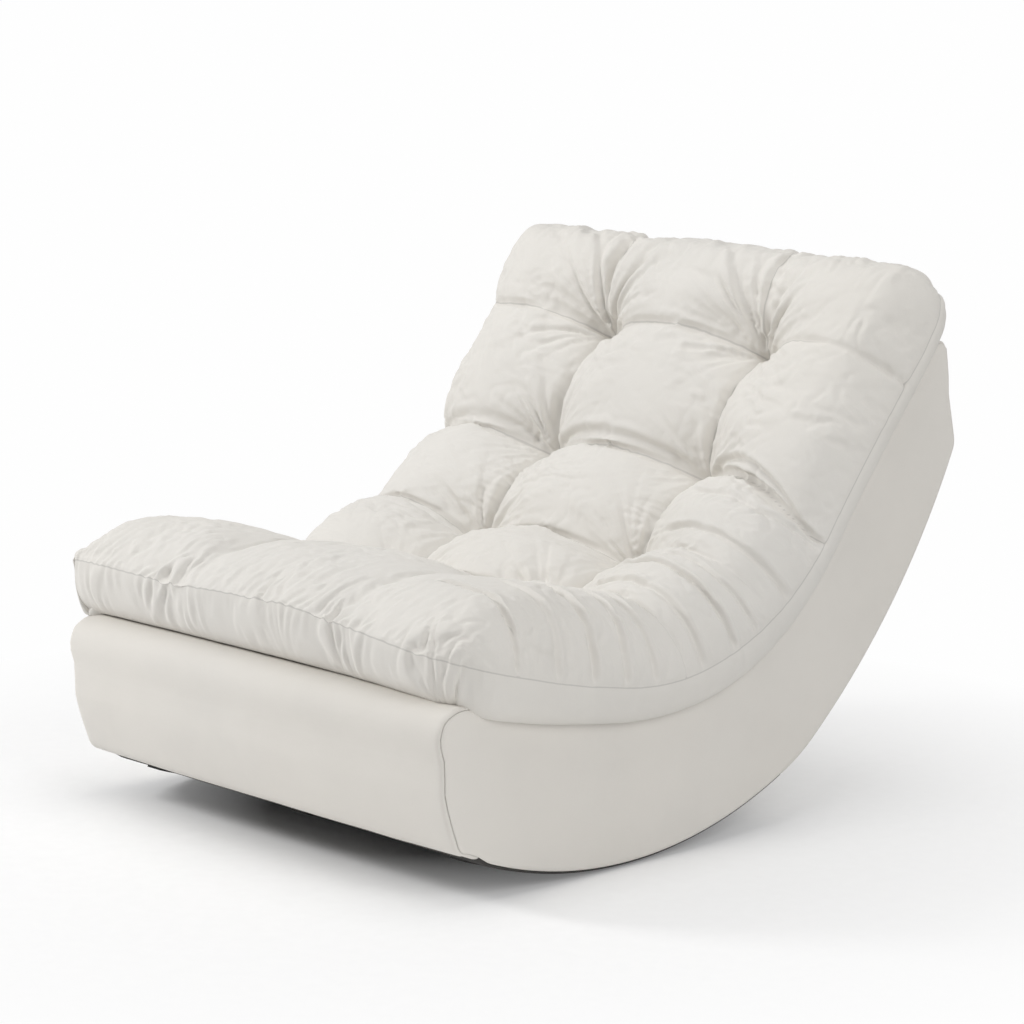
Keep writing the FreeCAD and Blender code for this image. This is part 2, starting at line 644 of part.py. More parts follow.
def section(station, inset, half):
    """A closed section of the cushion: all of it, or only the part over or under the seam."""
    s, b, nb, ns, no, nc, nt = station
    if s <= 0:
        s = s + inset
    if s >= end:
        s = s - inset
    b = b - inset
    nb = nb + inset
    no, nc, nt = no - inset, nc - inset, nt - inset
    p, a = deck_at(s)

    def at(x, n):
        return V(x, p[0] - n * math.sin(a), p[1] + n * math.cos(a))

    if half == "bottom":
        ns = ns - GAP / 2
    inner = b - S("cushion_edge")
    reach = ns - nb
    low_mid = (b - S("cushion_edge") * 0.24, nb + reach * 0.42)
    shoulder = b - S("cushion_rim")
    bulge = (b - 0.29 * S("cushion_rim"), ns + 0.71 * (no - ns))
    crown = ((shoulder + xt) / 2 + 9, no + 4 * k)
    low = [
        Part.LineSegment(at(-inner, nb), at(inner, nb)).toShape(),
        Part.Arc(at(inner, nb), at(*low_mid), at(b, ns)).toShape(),
    ]
    low_left = Part.Arc(at(-b, ns), at(-low_mid[0], low_mid[1]), at(-inner, nb)).toShape()
    top = [
        Part.Arc(at(b, ns), at(*bulge), at(shoulder, no)).toShape(),
        Part.Arc(at(shoulder, no), at(*crown), at(xt, nt)).toShape(),
        Part.Arc(at(xt, nt), at(0, nc), at(-xt, nt)).toShape(),
        Part.Arc(at(-xt, nt), at(-crown[0], crown[1]), at(-shoulder, no)).toShape(),
        Part.Arc(at(-shoulder, no), at(-bulge[0], bulge[1]), at(-b, ns)).toShape(),
    ]
    if half == "top":
        return Part.Wire([Part.LineSegment(at(-b, ns), at(b, ns)).toShape()] + top)
    if half == "bottom":
        return Part.Wire(low + [Part.LineSegment(at(b, ns), at(-b, ns)).toShape(), low_left])
    return Part.Wire(low + top + [low_left])


def pad(inset, half):
    """The cushion as one solid, row by row."""
    solids = []
    for span in SPANS:
        for stations in sub_spans(span):
            wires = [section(station, inset, half) for station in stations]
            solids.append(Part.makeLoft(wires, True, False))
    return one(solids[0].multiFuse(solids[1:]))


cloth = S("cover_wall")
fill = pad(cloth + GAP, "all")
inside = pad(cloth, "all")
top_cover = pad(0.0, "top").cut(inside)
bottom_cover = pad(0.0, "bottom").cut(inside)

ties = []
tie_rooms = []
discs = []
disc_rooms = []
for station in (crease1, crease2, crease3, crease4):
    p, a = deck_at(station[0])
    n = V(0, -math.sin(a), math.cos(a))
    for hand in (1, -1):
        foot = V(hand * xt, p[0], p[1])
        base_n = g + cloth + GAP + GAP
        top_n = station[6]
        disc_top = base_n + S("disc_wall")
        disc = Part.makeCylinder(S("disc_radius"), S("disc_wall"), foot + n * base_n, n)
        discs.append(disc)
        disc_rooms.append(Part.makeCylinder(S("disc_radius") + GAP, disc_top + GAP, foot, n))
        knot_low = top_n + 2 * GAP + 0.2
        stem = Part.makeCylinder(S("tie_radius"), knot_low - disc_top - 0.05, foot + n * (disc_top + 0.05), n)
        knot = Part.makeCylinder(S("knot_radius"), S("knot_height"), foot + n * knot_low, n)
        ties.append(one(stem.fuse(knot).removeSplitter()))
        tie_rooms.append(Part.makeCylinder(S("tie_radius") + GAP, FAR / 10, foot + n * disc_top, n))
        tie_rooms.append(Part.makeCylinder(S("knot_radius") + GAP, FAR / 10, foot + n * (knot_low - GAP), n))
fill = fill.cut(Part.makeCompound(disc_rooms)).cut(Part.makeCompound(tie_rooms))
piece("cushion_filling", one(fill))
piece("cushion_top_cover", max(top_cover.cut(Part.makeCompound(tie_rooms)).Solids, key=lambda s: s.Volume))
piece("cushion_bottom_cover", max(bottom_cover.Solids, key=lambda s: s.Volume))
group("tuft_ties", ties)
group("tuft_discs", discs)

# Zip across the cushion's upper end: tapes and chain, slider, pull.
p, a = deck_at(end)
out = V(0, math.cos(a), math.sin(a))
across = V(0, -math.sin(a), math.cos(a))
seat = V(0, p[0], p[1]) + across * (56 * k) + out * 0.05


def zip_box(x, n, h, length, width, height):
    """A box on the zip: x along it, n across it, h out from the cushion."""
    box = Part.makeBox(length, width, height)
    turn = FreeCAD.Rotation(V(1, 0, 0), across * -1, out, "XYZ")
    box.Placement = FreeCAD.Placement(seat + V(x, 0, 0) + across * (n + width) + out * h, turn)
    return box


zl = S("zip_length")
zt = S("zip_tape_wall")
cw = S("zip_chain_width")
ch = S("zip_chain_wall")
tapes = []
for hand in (1, -1):
    low = 0.1 if hand > 0 else -0.1 - S("zip_tape_width")
    chain_low = 0.1 if hand > 0 else -0.1 - cw / 2 + 0.1
    tape = zip_box(-zl / 2, low, 0, zl, S("zip_tape_width"), zt)
    chain = zip_box(-zl / 2 + 10, chain_low, zt, zl - 20, cw / 2 - 0.1, ch)
    tapes.append(one(tape.fuse(chain).removeSplitter()))
group("zip_tapes", tapes)

sl = S("slider_length")
sw = S("slider_wall")
x0 = zl / 2 - 14 - sl
roof_low = zt + ch + GAP
slider = zip_box(x0, -cw / 2 - GAP - sw, roof_low, sl, cw + 2 * (GAP + sw), sw)
for hand in (1, -1):
    low = cw / 2 + GAP if hand > 0 else -cw / 2 - GAP - sw
    slider = slider.fuse(zip_box(x0, low, zt + GAP, sl, sw, roof_low + sw - zt - GAP))
pin = S("pin_radius")
play = S("pin_play")
eye = pin + play + 0.9
pin_h = roof_low + sw + eye + 0.2
pin_x = x0 + sl / 2
for hand in (1, -1):
    low = S("pull_width") / 2 + play if hand > 0 else -S("pull_width") / 2 - play - sw
    slider = slider.fuse(zip_box(pin_x - eye, low, roof_low + sw - 0.2, 2 * eye, sw, pin_h + eye - roof_low - sw))
pin_foot = seat + V(pin_x, 0, 0) + out * pin_h - across * (S("pull_width") / 2 + play + sw / 2)
pin_run = S("pull_width") + 2 * play + sw
slider = slider.fuse(Part.makeCylinder(pin, pin_run, pin_foot, across))
piece("zip_slider", one(slider.removeSplitter()))

pull_low = seat + V(pin_x, 0, 0) + out * pin_h - across * (S("pull_width") / 2)
pull = Part.makeCylinder(eye, S("pull_width"), pull_low, across)
tab = zip_box(pin_x - S("pull_length"), -S("pull_width") / 2, pin_h - S("pull_wall") / 2,
              S("pull_length"), S("pull_width"), S("pull_wall"))
pull = pull.fuse(tab).cut(Part.makeCylinder(pin + play, S("pull_width"), pull_low, across))
piece("zip_pull", max(pull.removeSplitter().Solids, key=lambda s: s.Volume))

doc.recompute()
os.makedirs("parts", exist_ok=True)
for obj in doc.Objects:
    if "Invalid" in obj.State or "Error" in obj.State:
        raise RuntimeError("object %s did not compute" % obj.Label)
for obj in nodes:
    shape = obj.Shape
    if shape.isNull() or not shape.isValid() or not shape.Solids:
        raise RuntimeError("piece %s is not a valid solid" % obj.Label)
    shape.exportStep("parts/%s.step" % obj.Label)
    print(obj.Label, len(shape.Solids), round(shape.Volume / 1000.0, 1), "cm3")
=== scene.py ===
import bpy
import math
import numpy as np
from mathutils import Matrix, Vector, noise


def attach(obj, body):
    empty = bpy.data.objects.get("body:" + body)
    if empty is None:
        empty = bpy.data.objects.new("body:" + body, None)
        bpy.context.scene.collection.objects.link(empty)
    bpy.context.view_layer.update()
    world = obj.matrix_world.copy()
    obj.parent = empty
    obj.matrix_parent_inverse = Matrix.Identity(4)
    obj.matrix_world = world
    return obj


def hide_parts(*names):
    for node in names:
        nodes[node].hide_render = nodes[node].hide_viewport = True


# Upholstered rocking chair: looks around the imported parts, in metres.

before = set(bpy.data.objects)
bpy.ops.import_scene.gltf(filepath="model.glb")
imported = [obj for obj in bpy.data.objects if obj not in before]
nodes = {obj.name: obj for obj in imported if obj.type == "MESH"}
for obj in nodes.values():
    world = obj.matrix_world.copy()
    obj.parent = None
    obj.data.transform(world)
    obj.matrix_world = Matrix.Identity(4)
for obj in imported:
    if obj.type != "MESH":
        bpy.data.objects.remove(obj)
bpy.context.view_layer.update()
scene = bpy.context.scene
scene.view_settings.view_transform = "Standard"
rng = np.random.default_rng(7)


# Camera at the viewing angle of the picture.
AZ = math.radians(47.1995)
EL = math.radians(10.3115)
cam_data = bpy.data.cameras.new("camera")
cam = bpy.data.objects.new("camera", cam_data)
scene.collection.objects.link(cam)
cam_data.sensor_width = 36.0
cam_data.lens = 36.0 * 3588.57 / 1024
cam_data.clip_end = 200
back = Vector((math.sin(AZ) * math.cos(EL), -math.cos(AZ) * math.cos(EL), math.sin(EL)))
cam.location = (4.075, -3.5973, 1.4629)
cam.rotation_mode = "QUATERNION"
cam.rotation_quaternion = (-back).to_track_quat("-Z", "Y")
scene.camera = cam


# Small node helpers.
def lin(r, g, b):
    """sRGB numbers from 0 to 255 as a linear colour."""
    out = []
    for v in (r, g, b):
        v = v / 255
        out.append(v / 12.92 if v <= 0.04045 else ((v + 0.055) / 1.055) ** 2.4)
    return (out[0], out[1], out[2], 1.0)


class Nodes:
    """A material's node tree with short calls."""

    def __init__(self, name):
        self.mat = bpy.data.materials.new(name)
        self.mat.use_nodes = True
        self.tree = self.mat.node_tree
        self.shader = self.tree.nodes["Principled BSDF"]
        self.coord = self.tree.nodes.new("ShaderNodeTexCoord").outputs["Object"]

    def link(self, a, b):
        self.tree.links.new(a, b)

    def noise(self, scale, detail=3.0, rough=0.5, vector=None, stretch=None):
        n = self.tree.nodes.new("ShaderNodeTexNoise")
        n.inputs["Scale"].default_value = scale
        n.inputs["Detail"].default_value = detail
        n.inputs["Roughness"].default_value = rough
        source = vector or self.coord
        if stretch:
            m = self.tree.nodes.new("ShaderNodeMapping")
            m.inputs["Scale"].default_value = stretch
            self.link(source, m.inputs["Vector"])
            source = m.outputs["Vector"]
        self.link(source, n.inputs["Vector"])
        return n.outputs["Fac"]

    def ramp(self, fac, stops):
        r = self.tree.nodes.new("ShaderNodeValToRGB")
        bar = r.color_ramp
        while len(bar.elements) < len(stops):
            bar.elements.new(0.5)
        for e, (at, colour) in zip(bar.elements, stops):
            e.position = at
            e.color = colour
        self.link(fac, r.inputs["Fac"])
        return r.outputs["Color"]

    def span(self, value, a, b, c, d):
        m = self.tree.nodes.new("ShaderNodeMapRange")
        m.inputs["From Min"].default_value = a
        m.inputs["From Max"].default_value = b
        m.inputs["To Min"].default_value = c
        m.inputs["To Max"].default_value = d
        self.link(value, m.inputs["Value"])
        return m.outputs["Result"]

    def math(self, kind, a, b=None):
        m = self.tree.nodes.new("ShaderNodeMath")
        m.operation = kind
        for i, v in enumerate((a, b)):
            if v is None:
                continue
            if isinstance(v, (int, float)):
                m.inputs[i].default_value = v
            else:
                self.link(v, m.inputs[i])
        return m.outputs["Value"]

    def mix(self, fac, a, b, kind="MIX"):
        m = self.tree.nodes.new("ShaderNodeMix")
        m.data_type = "RGBA"
        m.blend_type = kind
        for socket, v in ((m.inputs[0], fac), (m.inputs[6], a), (m.inputs[7], b)):
            if isinstance(v, (int, float, tuple)):
                socket.default_value = v
            else:
                self.link(v, socket)
        return m.outputs[2]

    def attribute(self, name):
        a = self.tree.nodes.new("ShaderNodeAttribute")
        a.attribute_name = name
        return a.outputs["Fac"]

    def bump(self, height, strength, distance, before=None):
        b = self.tree.nodes.new("ShaderNodeBump")
        b.inputs["Strength"].default_value = strength
        b.inputs["Distance"].default_value = distance
        self.link(height, b.inputs["Height"])
        if before is not None:
            self.link(before, b.inputs["Normal"])
        return b.outputs["Normal"]

    def colour(self, socket):
        self.link(socket, self.shader.inputs["Base Color"])

    def rough(self, socket):
        self.link(socket, self.shader.inputs["Roughness"])

    def normal(self, socket):
        self.link(socket, self.shader.inputs["Normal"])

    def set(self, **values):
        for key, v in values.items():
            self.shader.inputs[key.replace("_", " ")].default_value = v
        return self.mat


def shade(colour, k):
    return (colour[0] * k, colour[1] * k, colour[2] * k, 1.0)


def cloth_material(name, colour):
    """Smooth brushed upholstery cloth: soft clouding, a fine nap and darker lines at the seams, partly dark
    thread and partly painted shade in the seam grooves.
    """
    m = Nodes(name)
    cloud = m.noise(5.5, 4.0, 0.55)
    tone = m.ramp(cloud, [(0.28, shade(colour, 0.955)), (0.5, colour), (0.74, shade(colour, 1.03))])
    warm = m.noise(2.1, 2.0)
    warmer = (colour[0], colour[1] * 0.985, colour[2] * 0.955, 1)
    tone = m.mix(m.span(warm, 0.35, 0.7, 0.0, 0.35), tone, warmer)
    nap = m.noise(1600.0, 2.0, 0.6)
    weave = m.noise(520.0, 3.0, 0.65)
    tone = m.mix(0.10, tone, m.ramp(weave, [(0.3, shade(colour, 0.86)), (0.7, shade(colour, 1.08))]))
    # Painted shade: the colour darkens within about 1.4 mm of each seam, partly for the dark thread and
    # partly for the shade in the seam groove.
    line = m.span(m.attribute("seam"), 0.0004, 0.0014, 1.0, 0.0)
    tone = m.mix(m.math("MULTIPLY", line, 0.36), tone, shade(colour, 0.45))
    m.colour(tone)
    m.rough(m.span(cloud, 0.3, 0.7, 0.84, 0.94))
    soft = m.noise(26.0, 3.0, 0.5)
    normal = m.bump(soft, 0.16, 0.004)
    normal = m.bump(weave, 0.16, 0.0007, normal)
    normal = m.bump(nap, 0.12, 0.0004, normal)
    m.normal(normal)
    return m.set(Sheen_Weight=0.12, Sheen_Roughness=0.45, Specular_IOR_Level=0.22)


IVORY = lin(224, 221, 215.5)
BASE_IVORY = lin(227, 223.5, 217.5)
cushion_cloth = cloth_material("cushion_cloth", IVORY)
base_cloth = cloth_material("base_cloth", BASE_IVORY)


def plain_material(name, colour, vary, scale, stretch, rough, bump, depth=0.0006, **values):
    """One grain that drives colour, roughness and relief."""
    m = Nodes(name)
    grain = m.noise(scale, 4.0, 0.6, stretch=stretch)
    m.colour(m.ramp(grain, [(0.3, shade(colour, 1 - vary)), (0.7, shade(colour, 1 + vary))]))
    m.rough(m.span(grain, 0.3, 0.7, rough[0], rough[1]))
    m.normal(m.bump(grain, bump, depth))
    return m.set(**values)


dark_cloth = plain_material("dark_cloth", lin(58, 56, 54), 0.22, 700.0, None, (0.85, 0.95), 0.3)
METAL = {"Metallic": 1.0}
MATERIALS = {
    "webbing": plain_material("webbing", lin(150, 138, 118), 0.2, 300.0, (1, 8, 8), (0.75, 0.9), 0.4),
    "tape": plain_material("tape", lin(216, 211, 202), 0.12, 900.0, None, (0.8, 0.95), 0.6, 0.0012),
    "twine": plain_material("twine", lin(205, 196, 178), 0.15, 800.0, (1, 1, 4), (0.75, 0.9), 0.4),
    "plywood": plain_material("plywood", lin(201, 166, 120), 0.16, 9.0, (1, 2, 26), (0.55, 0.75), 0.2),
    "pine": plain_material("pine", lin(214, 180, 132), 0.14, 12.0, (1, 18, 18), (0.5, 0.7), 0.2),
    "screw_steel": plain_material(
        "screw_steel", lin(176, 174, 168), 0.08, 240.0, None, (0.25, 0.4), 0.1, 0.0003, **METAL
    ),
    "weight_steel": plain_material(
        "weight_steel", lin(92, 92, 94), 0.2, 80.0, None, (0.45, 0.65), 0.25, **METAL
    ),
    "rubber": plain_material("rubber", lin(46, 45, 44), 0.2, 260.0, None, (0.7, 0.85), 0.4, 0.0008),
    "disc_plastic": plain_material("disc_plastic", lin(206, 203, 196), 0.06, 160.0, None, (0.35, 0.5), 0.1),
    "zip_tape": plain_material("zip_tape", lin(208, 202, 192), 0.1, 1200.0, (1, 4, 4), (0.8, 0.9), 0.4),
    "zip_metal": plain_material(
        "zip_metal", lin(186, 182, 174), 0.08, 420.0, None, (0.22, 0.36), 0.08, 0.0002, **METAL
    ),
}
LOOK_OF = {
    "webbing": ["seat_webbing"],
    "tape": ["deck_loop_tapes", "cushion_hook_tapes"],
    "twine": ["tuft_ties"],
    "plywood": ["rocker_skin", "front_board", "left_side_panel", "right_side_panel", "middle_rib"],
    "pine": [
        "front_seat_rail", "mid_seat_rail", "lumbar_rail", "back_rail", "top_rail", "toe_rail", "keel_rail",
        "heel_rail", "rear_rail", "corner_blocks",
    ],
    "screw_steel": ["frame_screws"],
    "weight_steel": ["counterweights"],
    "rubber": ["left_grip_strip", "middle_grip_strip", "right_grip_strip"],
    "disc_plastic": ["tuft_discs"],
    "zip_tape": ["zip_tapes"],
    "zip_metal": ["zip_slider", "zip_pull"],
}
for slot, names in LOOK_OF.items():
    for name in names:
        mesh = nodes[name].data
        mesh.materials.clear()
        mesh.materials.append(MATERIALS[slot])


# Outline of the base in millimetres, the same curves as the solids.
def polar(centre, radius, degrees):
    a = math.radians(degrees)
    return np.array([centre[0] + radius * math.sin(a), centre[1] - radius * math.cos(a)])


def unit(v):
    return v / np.linalg.norm(v)


def cross_lines(p, d, q, e):
    det = d[0] * -e[1] + e[0] * d[1]
    t = ((q[0] - p[0]) * -e[1] + e[0] * (q[1] - p[1])) / det
    return p + t * d


def corner(before, at, after, radius):
    a = unit(before - at)
    b = unit(after - at)
    half = math.acos(float(a @ b)) / 2
    run = radius / math.tan(half)
    mid = unit(a + b)
    return at + a * run, at + mid * (radius / math.sin(half)), at + b * run


def round_to_arc(p, d, inward, centre, big, radius, near):
    base = p + inward * radius
    w = base - centre
    b = float(w @ d)
    c = float(w @ w) - (big - radius) ** 2
    root = math.sqrt(b * b - c)
    hubs = [base + d * t for t in (-b - root, -b + root)]
    hub = min(hubs, key=lambda h: np.linalg.norm(h - near))
    return hub - inward * radius, hub, centre + unit(hub - centre) * big


def arc_points(centre, p, q):
    a = math.atan2(p[1] - centre[1], p[0] - centre[0])
    b = math.atan2(q[1] - centre[1], q[0] - centre[0])
    turn = (b - a + math.pi) % (2 * math.pi) - math.pi
    radius = np.linalg.norm(p - centre)
    count = max(8, int(abs(turn) * radius / 1.5))
    t = a + turn * np.linspace(0, 1, count + 1)
    return np.stack([centre[0] + radius * np.cos(t), centre[1] + radius * np.sin(t)], 1)


def line_points(p, q):
    count = max(2, int(np.linalg.norm(q - p) / 1.5))
    t = np.linspace(0, 1, count + 1)[:, None]
    return p + (q - p) * t


HALF = 440.0
ROLL = np.array([0.0, 771.5])
R1 = 769.0
J1 = polar(ROLL, R1, 27)
C2 = polar(J1, -300, 27)
J2 = polar(C2, 300, 40)
KNEE = np.array([732.0, 553.0])
chord = math.degrees(math.atan2(KNEE[1] - J2[1], KNEE[0] - J2[0]))
R3 = float(np.linalg.norm(KNEE - J2)) / (2 * math.sin(math.radians(chord - 40)))
C3 = polar(J2, -R3, 40)
TOP = np.array([694.0, 730.0])
TOE = np.array([-333.0, ROLL[1] - math.sqrt(R1 ** 2 - 333.0 ** 2)])
LIP = np.array([-358.0, 289.0])
fall = math.radians(8)
rise = math.radians(50.6)
FALL = np.array([math.cos(fall), -math.sin(fall)])
RISE = np.array([math.cos(rise), math.sin(rise)])
CREASE = cross_lines(LIP, FALL, TOP, RISE)
DECK_R = 520.0
run = DECK_R * math.tan((fall + rise) / 2)
T1 = CREASE - FALL * run
T2 = CREASE + RISE * run
DECK = np.array([T1[0] - FALL[1] * DECK_R, T1[1] + FALL[0] * DECK_R])
lip = corner(TOE, LIP, T1, 45)
peak = corner(T2, TOP, KNEE, 14)
up = unit(TOP - KNEE)
knee = round_to_arc(KNEE, up, np.array([-up[1], up[0]]), C3, R3, 40, KNEE)
front = unit(LIP - TOE)
toe = round_to_arc(TOE, front, np.array([front[1], -front[0]]), ROLL, R1, 24, TOE)
PATH = [
    arc_points(ROLL, toe[2], J1),
    arc_points(C2, J1, J2),
    arc_points(C3, J2, knee[2]),
    arc_points(knee[1], knee[2], knee[0]),
    line_points(knee[0], peak[2]),
    arc_points(peak[1], peak[2], peak[0]),
    line_points(peak[0], T2),
    arc_points(DECK, T2, T1),
    line_points(T1, lip[2]),
    arc_points(lip[1], lip[2], lip[0]),
    line_points(lip[0], toe[0]),
    arc_points(toe[1], toe[0], toe[2]),
]
LOOP = np.concatenate([p[:-1] for p in PATH] + [PATH[0][:1]])
ends = np.cumsum([0] + [len(p) - 1 for p in PATH])
LOOP_L = np.concatenate([[0], np.cumsum(np.linalg.norm(np.diff(LOOP, axis=0), axis=1))])
ROUND = LOOP_L[-1]
MARK = {
    "toe": (LOOP_L[ends[11]] + LOOP_L[ends[12]]) / 2,
    "knee": (LOOP_L[ends[3]] + LOOP_L[ends[4]]) / 2,
    "peak": (LOOP_L[ends[5]] + LOOP_L[ends[6]]) / 2,
    "lip": (LOOP_L[ends[9]] + LOOP_L[ends[10]]) / 2,
}


def on_loop(at):
    """Points and outward normals at lengths along the outline."""
    at = np.mod(at, ROUND)
    p = np.stack([np.interp(at, LOOP_L, LOOP[:, k]) for k in (0, 1)], 1)
    ahead = np.mod(at + 1.0, ROUND)
    behind = np.mod(at - 1.0, ROUND)
    q = np.stack([np.interp(ahead, LOOP_L, LOOP[:, k]) for k in (0, 1)], 1)
    r = np.stack([np.interp(behind, LOOP_L, LOOP[:, k]) for k in (0, 1)], 1)
    t = q - r
    t = t / np.linalg.norm(t, axis=1)[:, None]
    return p, np.stack([t[:, 1], -t[:, 0]], 1)


def swell(at):
    """How far the padding fills the cloth out past the outline."""
    into = np.mod(np.asarray(at, float) - L_DECK, ROUND)
    return np.interp(into, FRONT_SWELL[:, 0], FRONT_SWELL[:, 1])


def graded(a, b, fine, coarse, reach, count=None):
    """Lengths from a to b, closer together near both ends."""
    grid = np.linspace(a, b, 2000)
    near = np.minimum(grid - a, b - grid)
    step = fine + (coarse - fine) * np.clip(near / reach, 0, 1)
    need = np.concatenate([[0], np.cumsum(np.diff(grid) / ((step[1:] + step[:-1]) / 2))])
    count = count or int(round(need[-1]))
    return np.interp(np.linspace(0, need[-1], count + 1), need, grid)


def mesh_object(name, verts, faces, material, smooth=True):
    mesh = bpy.data.meshes.new(name)
    mesh.from_pydata(np.asarray(verts, float).tolist(), [], faces)
    mesh.update()
    obj = bpy.data.objects.new(name, mesh)
    scene.collection.objects.link(obj)
    mesh.materials.append(material)
    mesh.polygons.foreach_set("use_smooth", [smooth] * len(mesh.polygons))
    return obj


def grid_faces(rows, cols, flip=False):
    i, j = np.meshgrid(np.arange(rows - 1), np.arange(cols - 1), indexing="ij")
    a = (i * cols + j).ravel()
    quads = np.stack([a, a + 1, a + cols + 1, a + cols], 1)
    if flip:
        quads = quads[:, ::-1]
    return quads.tolist()


def float_attribute(obj, name, values):
    a = obj.data.attributes.new(name, "FLOAT", "POINT")
    a.data.foreach_set("value", np.asarray(values, np.float32))


def wobble(points, scale, seed):
    """Smooth noise from -1 to 1 at points in millimetres."""
    shift = Vector((seed * 13.1, seed * 7.7, seed * 3.3))
    return np.array([noise.noise(Vector(p) * scale + shift) for p in points])


# Base cover: four panels round the outline, and the two flat sides.
EDGE = 13.0
SEW = math.radians(50)


def edge_profile(degrees):
    a = np.radians(degrees)
    return HALF - EDGE + EDGE * np.sin(a), -EDGE * (1 - np.cos(a))


def wrap(name, a, b, material, puff, seed):
    """A panel across the chair, from one length of the outline to another."""
    at = graded(a, b, 3.0, 9.0, 60)
    inner = graded(0, HALF - EDGE, 5.0, 24.0, 80)
    inner = inner[inner > 0]
    turn = np.array([12.0, 24.0, 34.0, 42.0, 47.0, 50.0])
    ex, en = edge_profile(turn)
    tuck = np.array([0, 0, 0, 0.1, 0.5, 1.6])
    ex = ex - tuck * math.sin(SEW)
    en = en - tuck * math.cos(SEW)
    half_x = np.concatenate([inner, ex])
    half_n = np.concatenate([np.zeros(len(inner)), en])
    half_e = np.concatenate([EDGE * SEW + HALF - EDGE - inner, EDGE * np.radians(50 - turn)])
    xs = np.concatenate([-half_x[::-1], [0.0], half_x])
    ns = np.concatenate([half_n[::-1], [0.0], half_n])
    es = np.concatenate([half_e[::-1], [HALF], half_e])
    p, n = on_loop(at)
    p = p + n * swell(at)[:, None]
    far = np.minimum(at - a, b - at)
    close = np.clip(1 - far / 3.0, 0, 1) * 1.4
    rows, cols = len(at), len(xs)
    flat = 1 - (np.abs(xs) / HALF) ** 4
    ends_soft = 1 - np.exp(-far / 30.0)
    lift = puff * flat[None, :] * ends_soft[:, None] + ns[None, :] - close[:, None]
    pts = np.zeros((rows, cols, 3))
    pts[:, :, 0] = xs[None, :]
    pts[:, :, 1] = p[:, 0][:, None] + n[:, 0][:, None] * lift
    pts[:, :, 2] = p[:, 1][:, None] + n[:, 1][:, None] * lift
    flat_pts = pts.reshape(-1, 3)
    wave = wobble(flat_pts, 0.011, seed) * 0.7 + wobble(flat_pts, 0.028, seed + 3) * 0.25
    wave = wave.reshape(rows, cols) * np.clip(far / 20, 0, 1)[:, None] * np.clip(es / 20, 0, 1)[None, :]
    pts[:, :, 1] += n[:, 0][:, None] * wave
    pts[:, :, 2] += n[:, 1][:, None] * wave
    obj = mesh_object(name, pts.reshape(-1, 3) * 0.001, grid_faces(rows, cols, True), material)
    seam = np.minimum(far[:, None] * np.ones(cols)[None, :], es[None, :])
    float_attribute(obj, "seam", seam.ravel() * 0.001)
    return obj


def length_at(test, low, high):
    """The length between low and high where the outline passes a test."""
    at = np.linspace(low, high, 4000)
    p, _ = on_loop(at)
    ok = np.array([test(q) for q in p])
    return at[int(np.argmax(ok))]


L_UNDER = length_at(lambda q: q[0] > -296, 0, 400)
L_SPLIT = length_at(lambda q: math.atan2(q[0], ROLL[1] - q[1]) > math.radians(26), 200, LOOP_L[ends[2]])
L_REAR = MARK["peak"] - np.linalg.norm(TOP - peak[2]) - 80
L_DECK = length_at(lambda q: q[0] < -296, LOOP_L[ends[7]], LOOP_L[ends[9]])

FRONT_SWELL = np.array([
    (0, 9), (17, 13), (34, 18), (51, 23), (68, 20), (85, 14), (94, 12), (120, 14), (145, 17),
    (170, 14), (200, 8), (230, 1), (255, -5), (275, -5),
    (300, 0), (ROUND - 1265, 0), (ROUND - 1235, 5), (ROUND - 1180, 9), (ROUND - 900, 10), (ROUND - 780, 6),
    (ROUND - 640, 0), (ROUND - 70, 0), (ROUND - 30, 5), (ROUND, 10),
])
base_front = wrap("base_front", L_DECK, ROUND + L_UNDER, base_cloth, 4.0, 1)
base_under = wrap("base_underside", L_UNDER, L_SPLIT, dark_cloth, 0.0, 2)
base_back = wrap("base_back", L_SPLIT, L_REAR, base_cloth, 1.2, 3)
base_deck = wrap("base_deck", L_REAR, L_DECK, base_cloth, 0.0, 4)


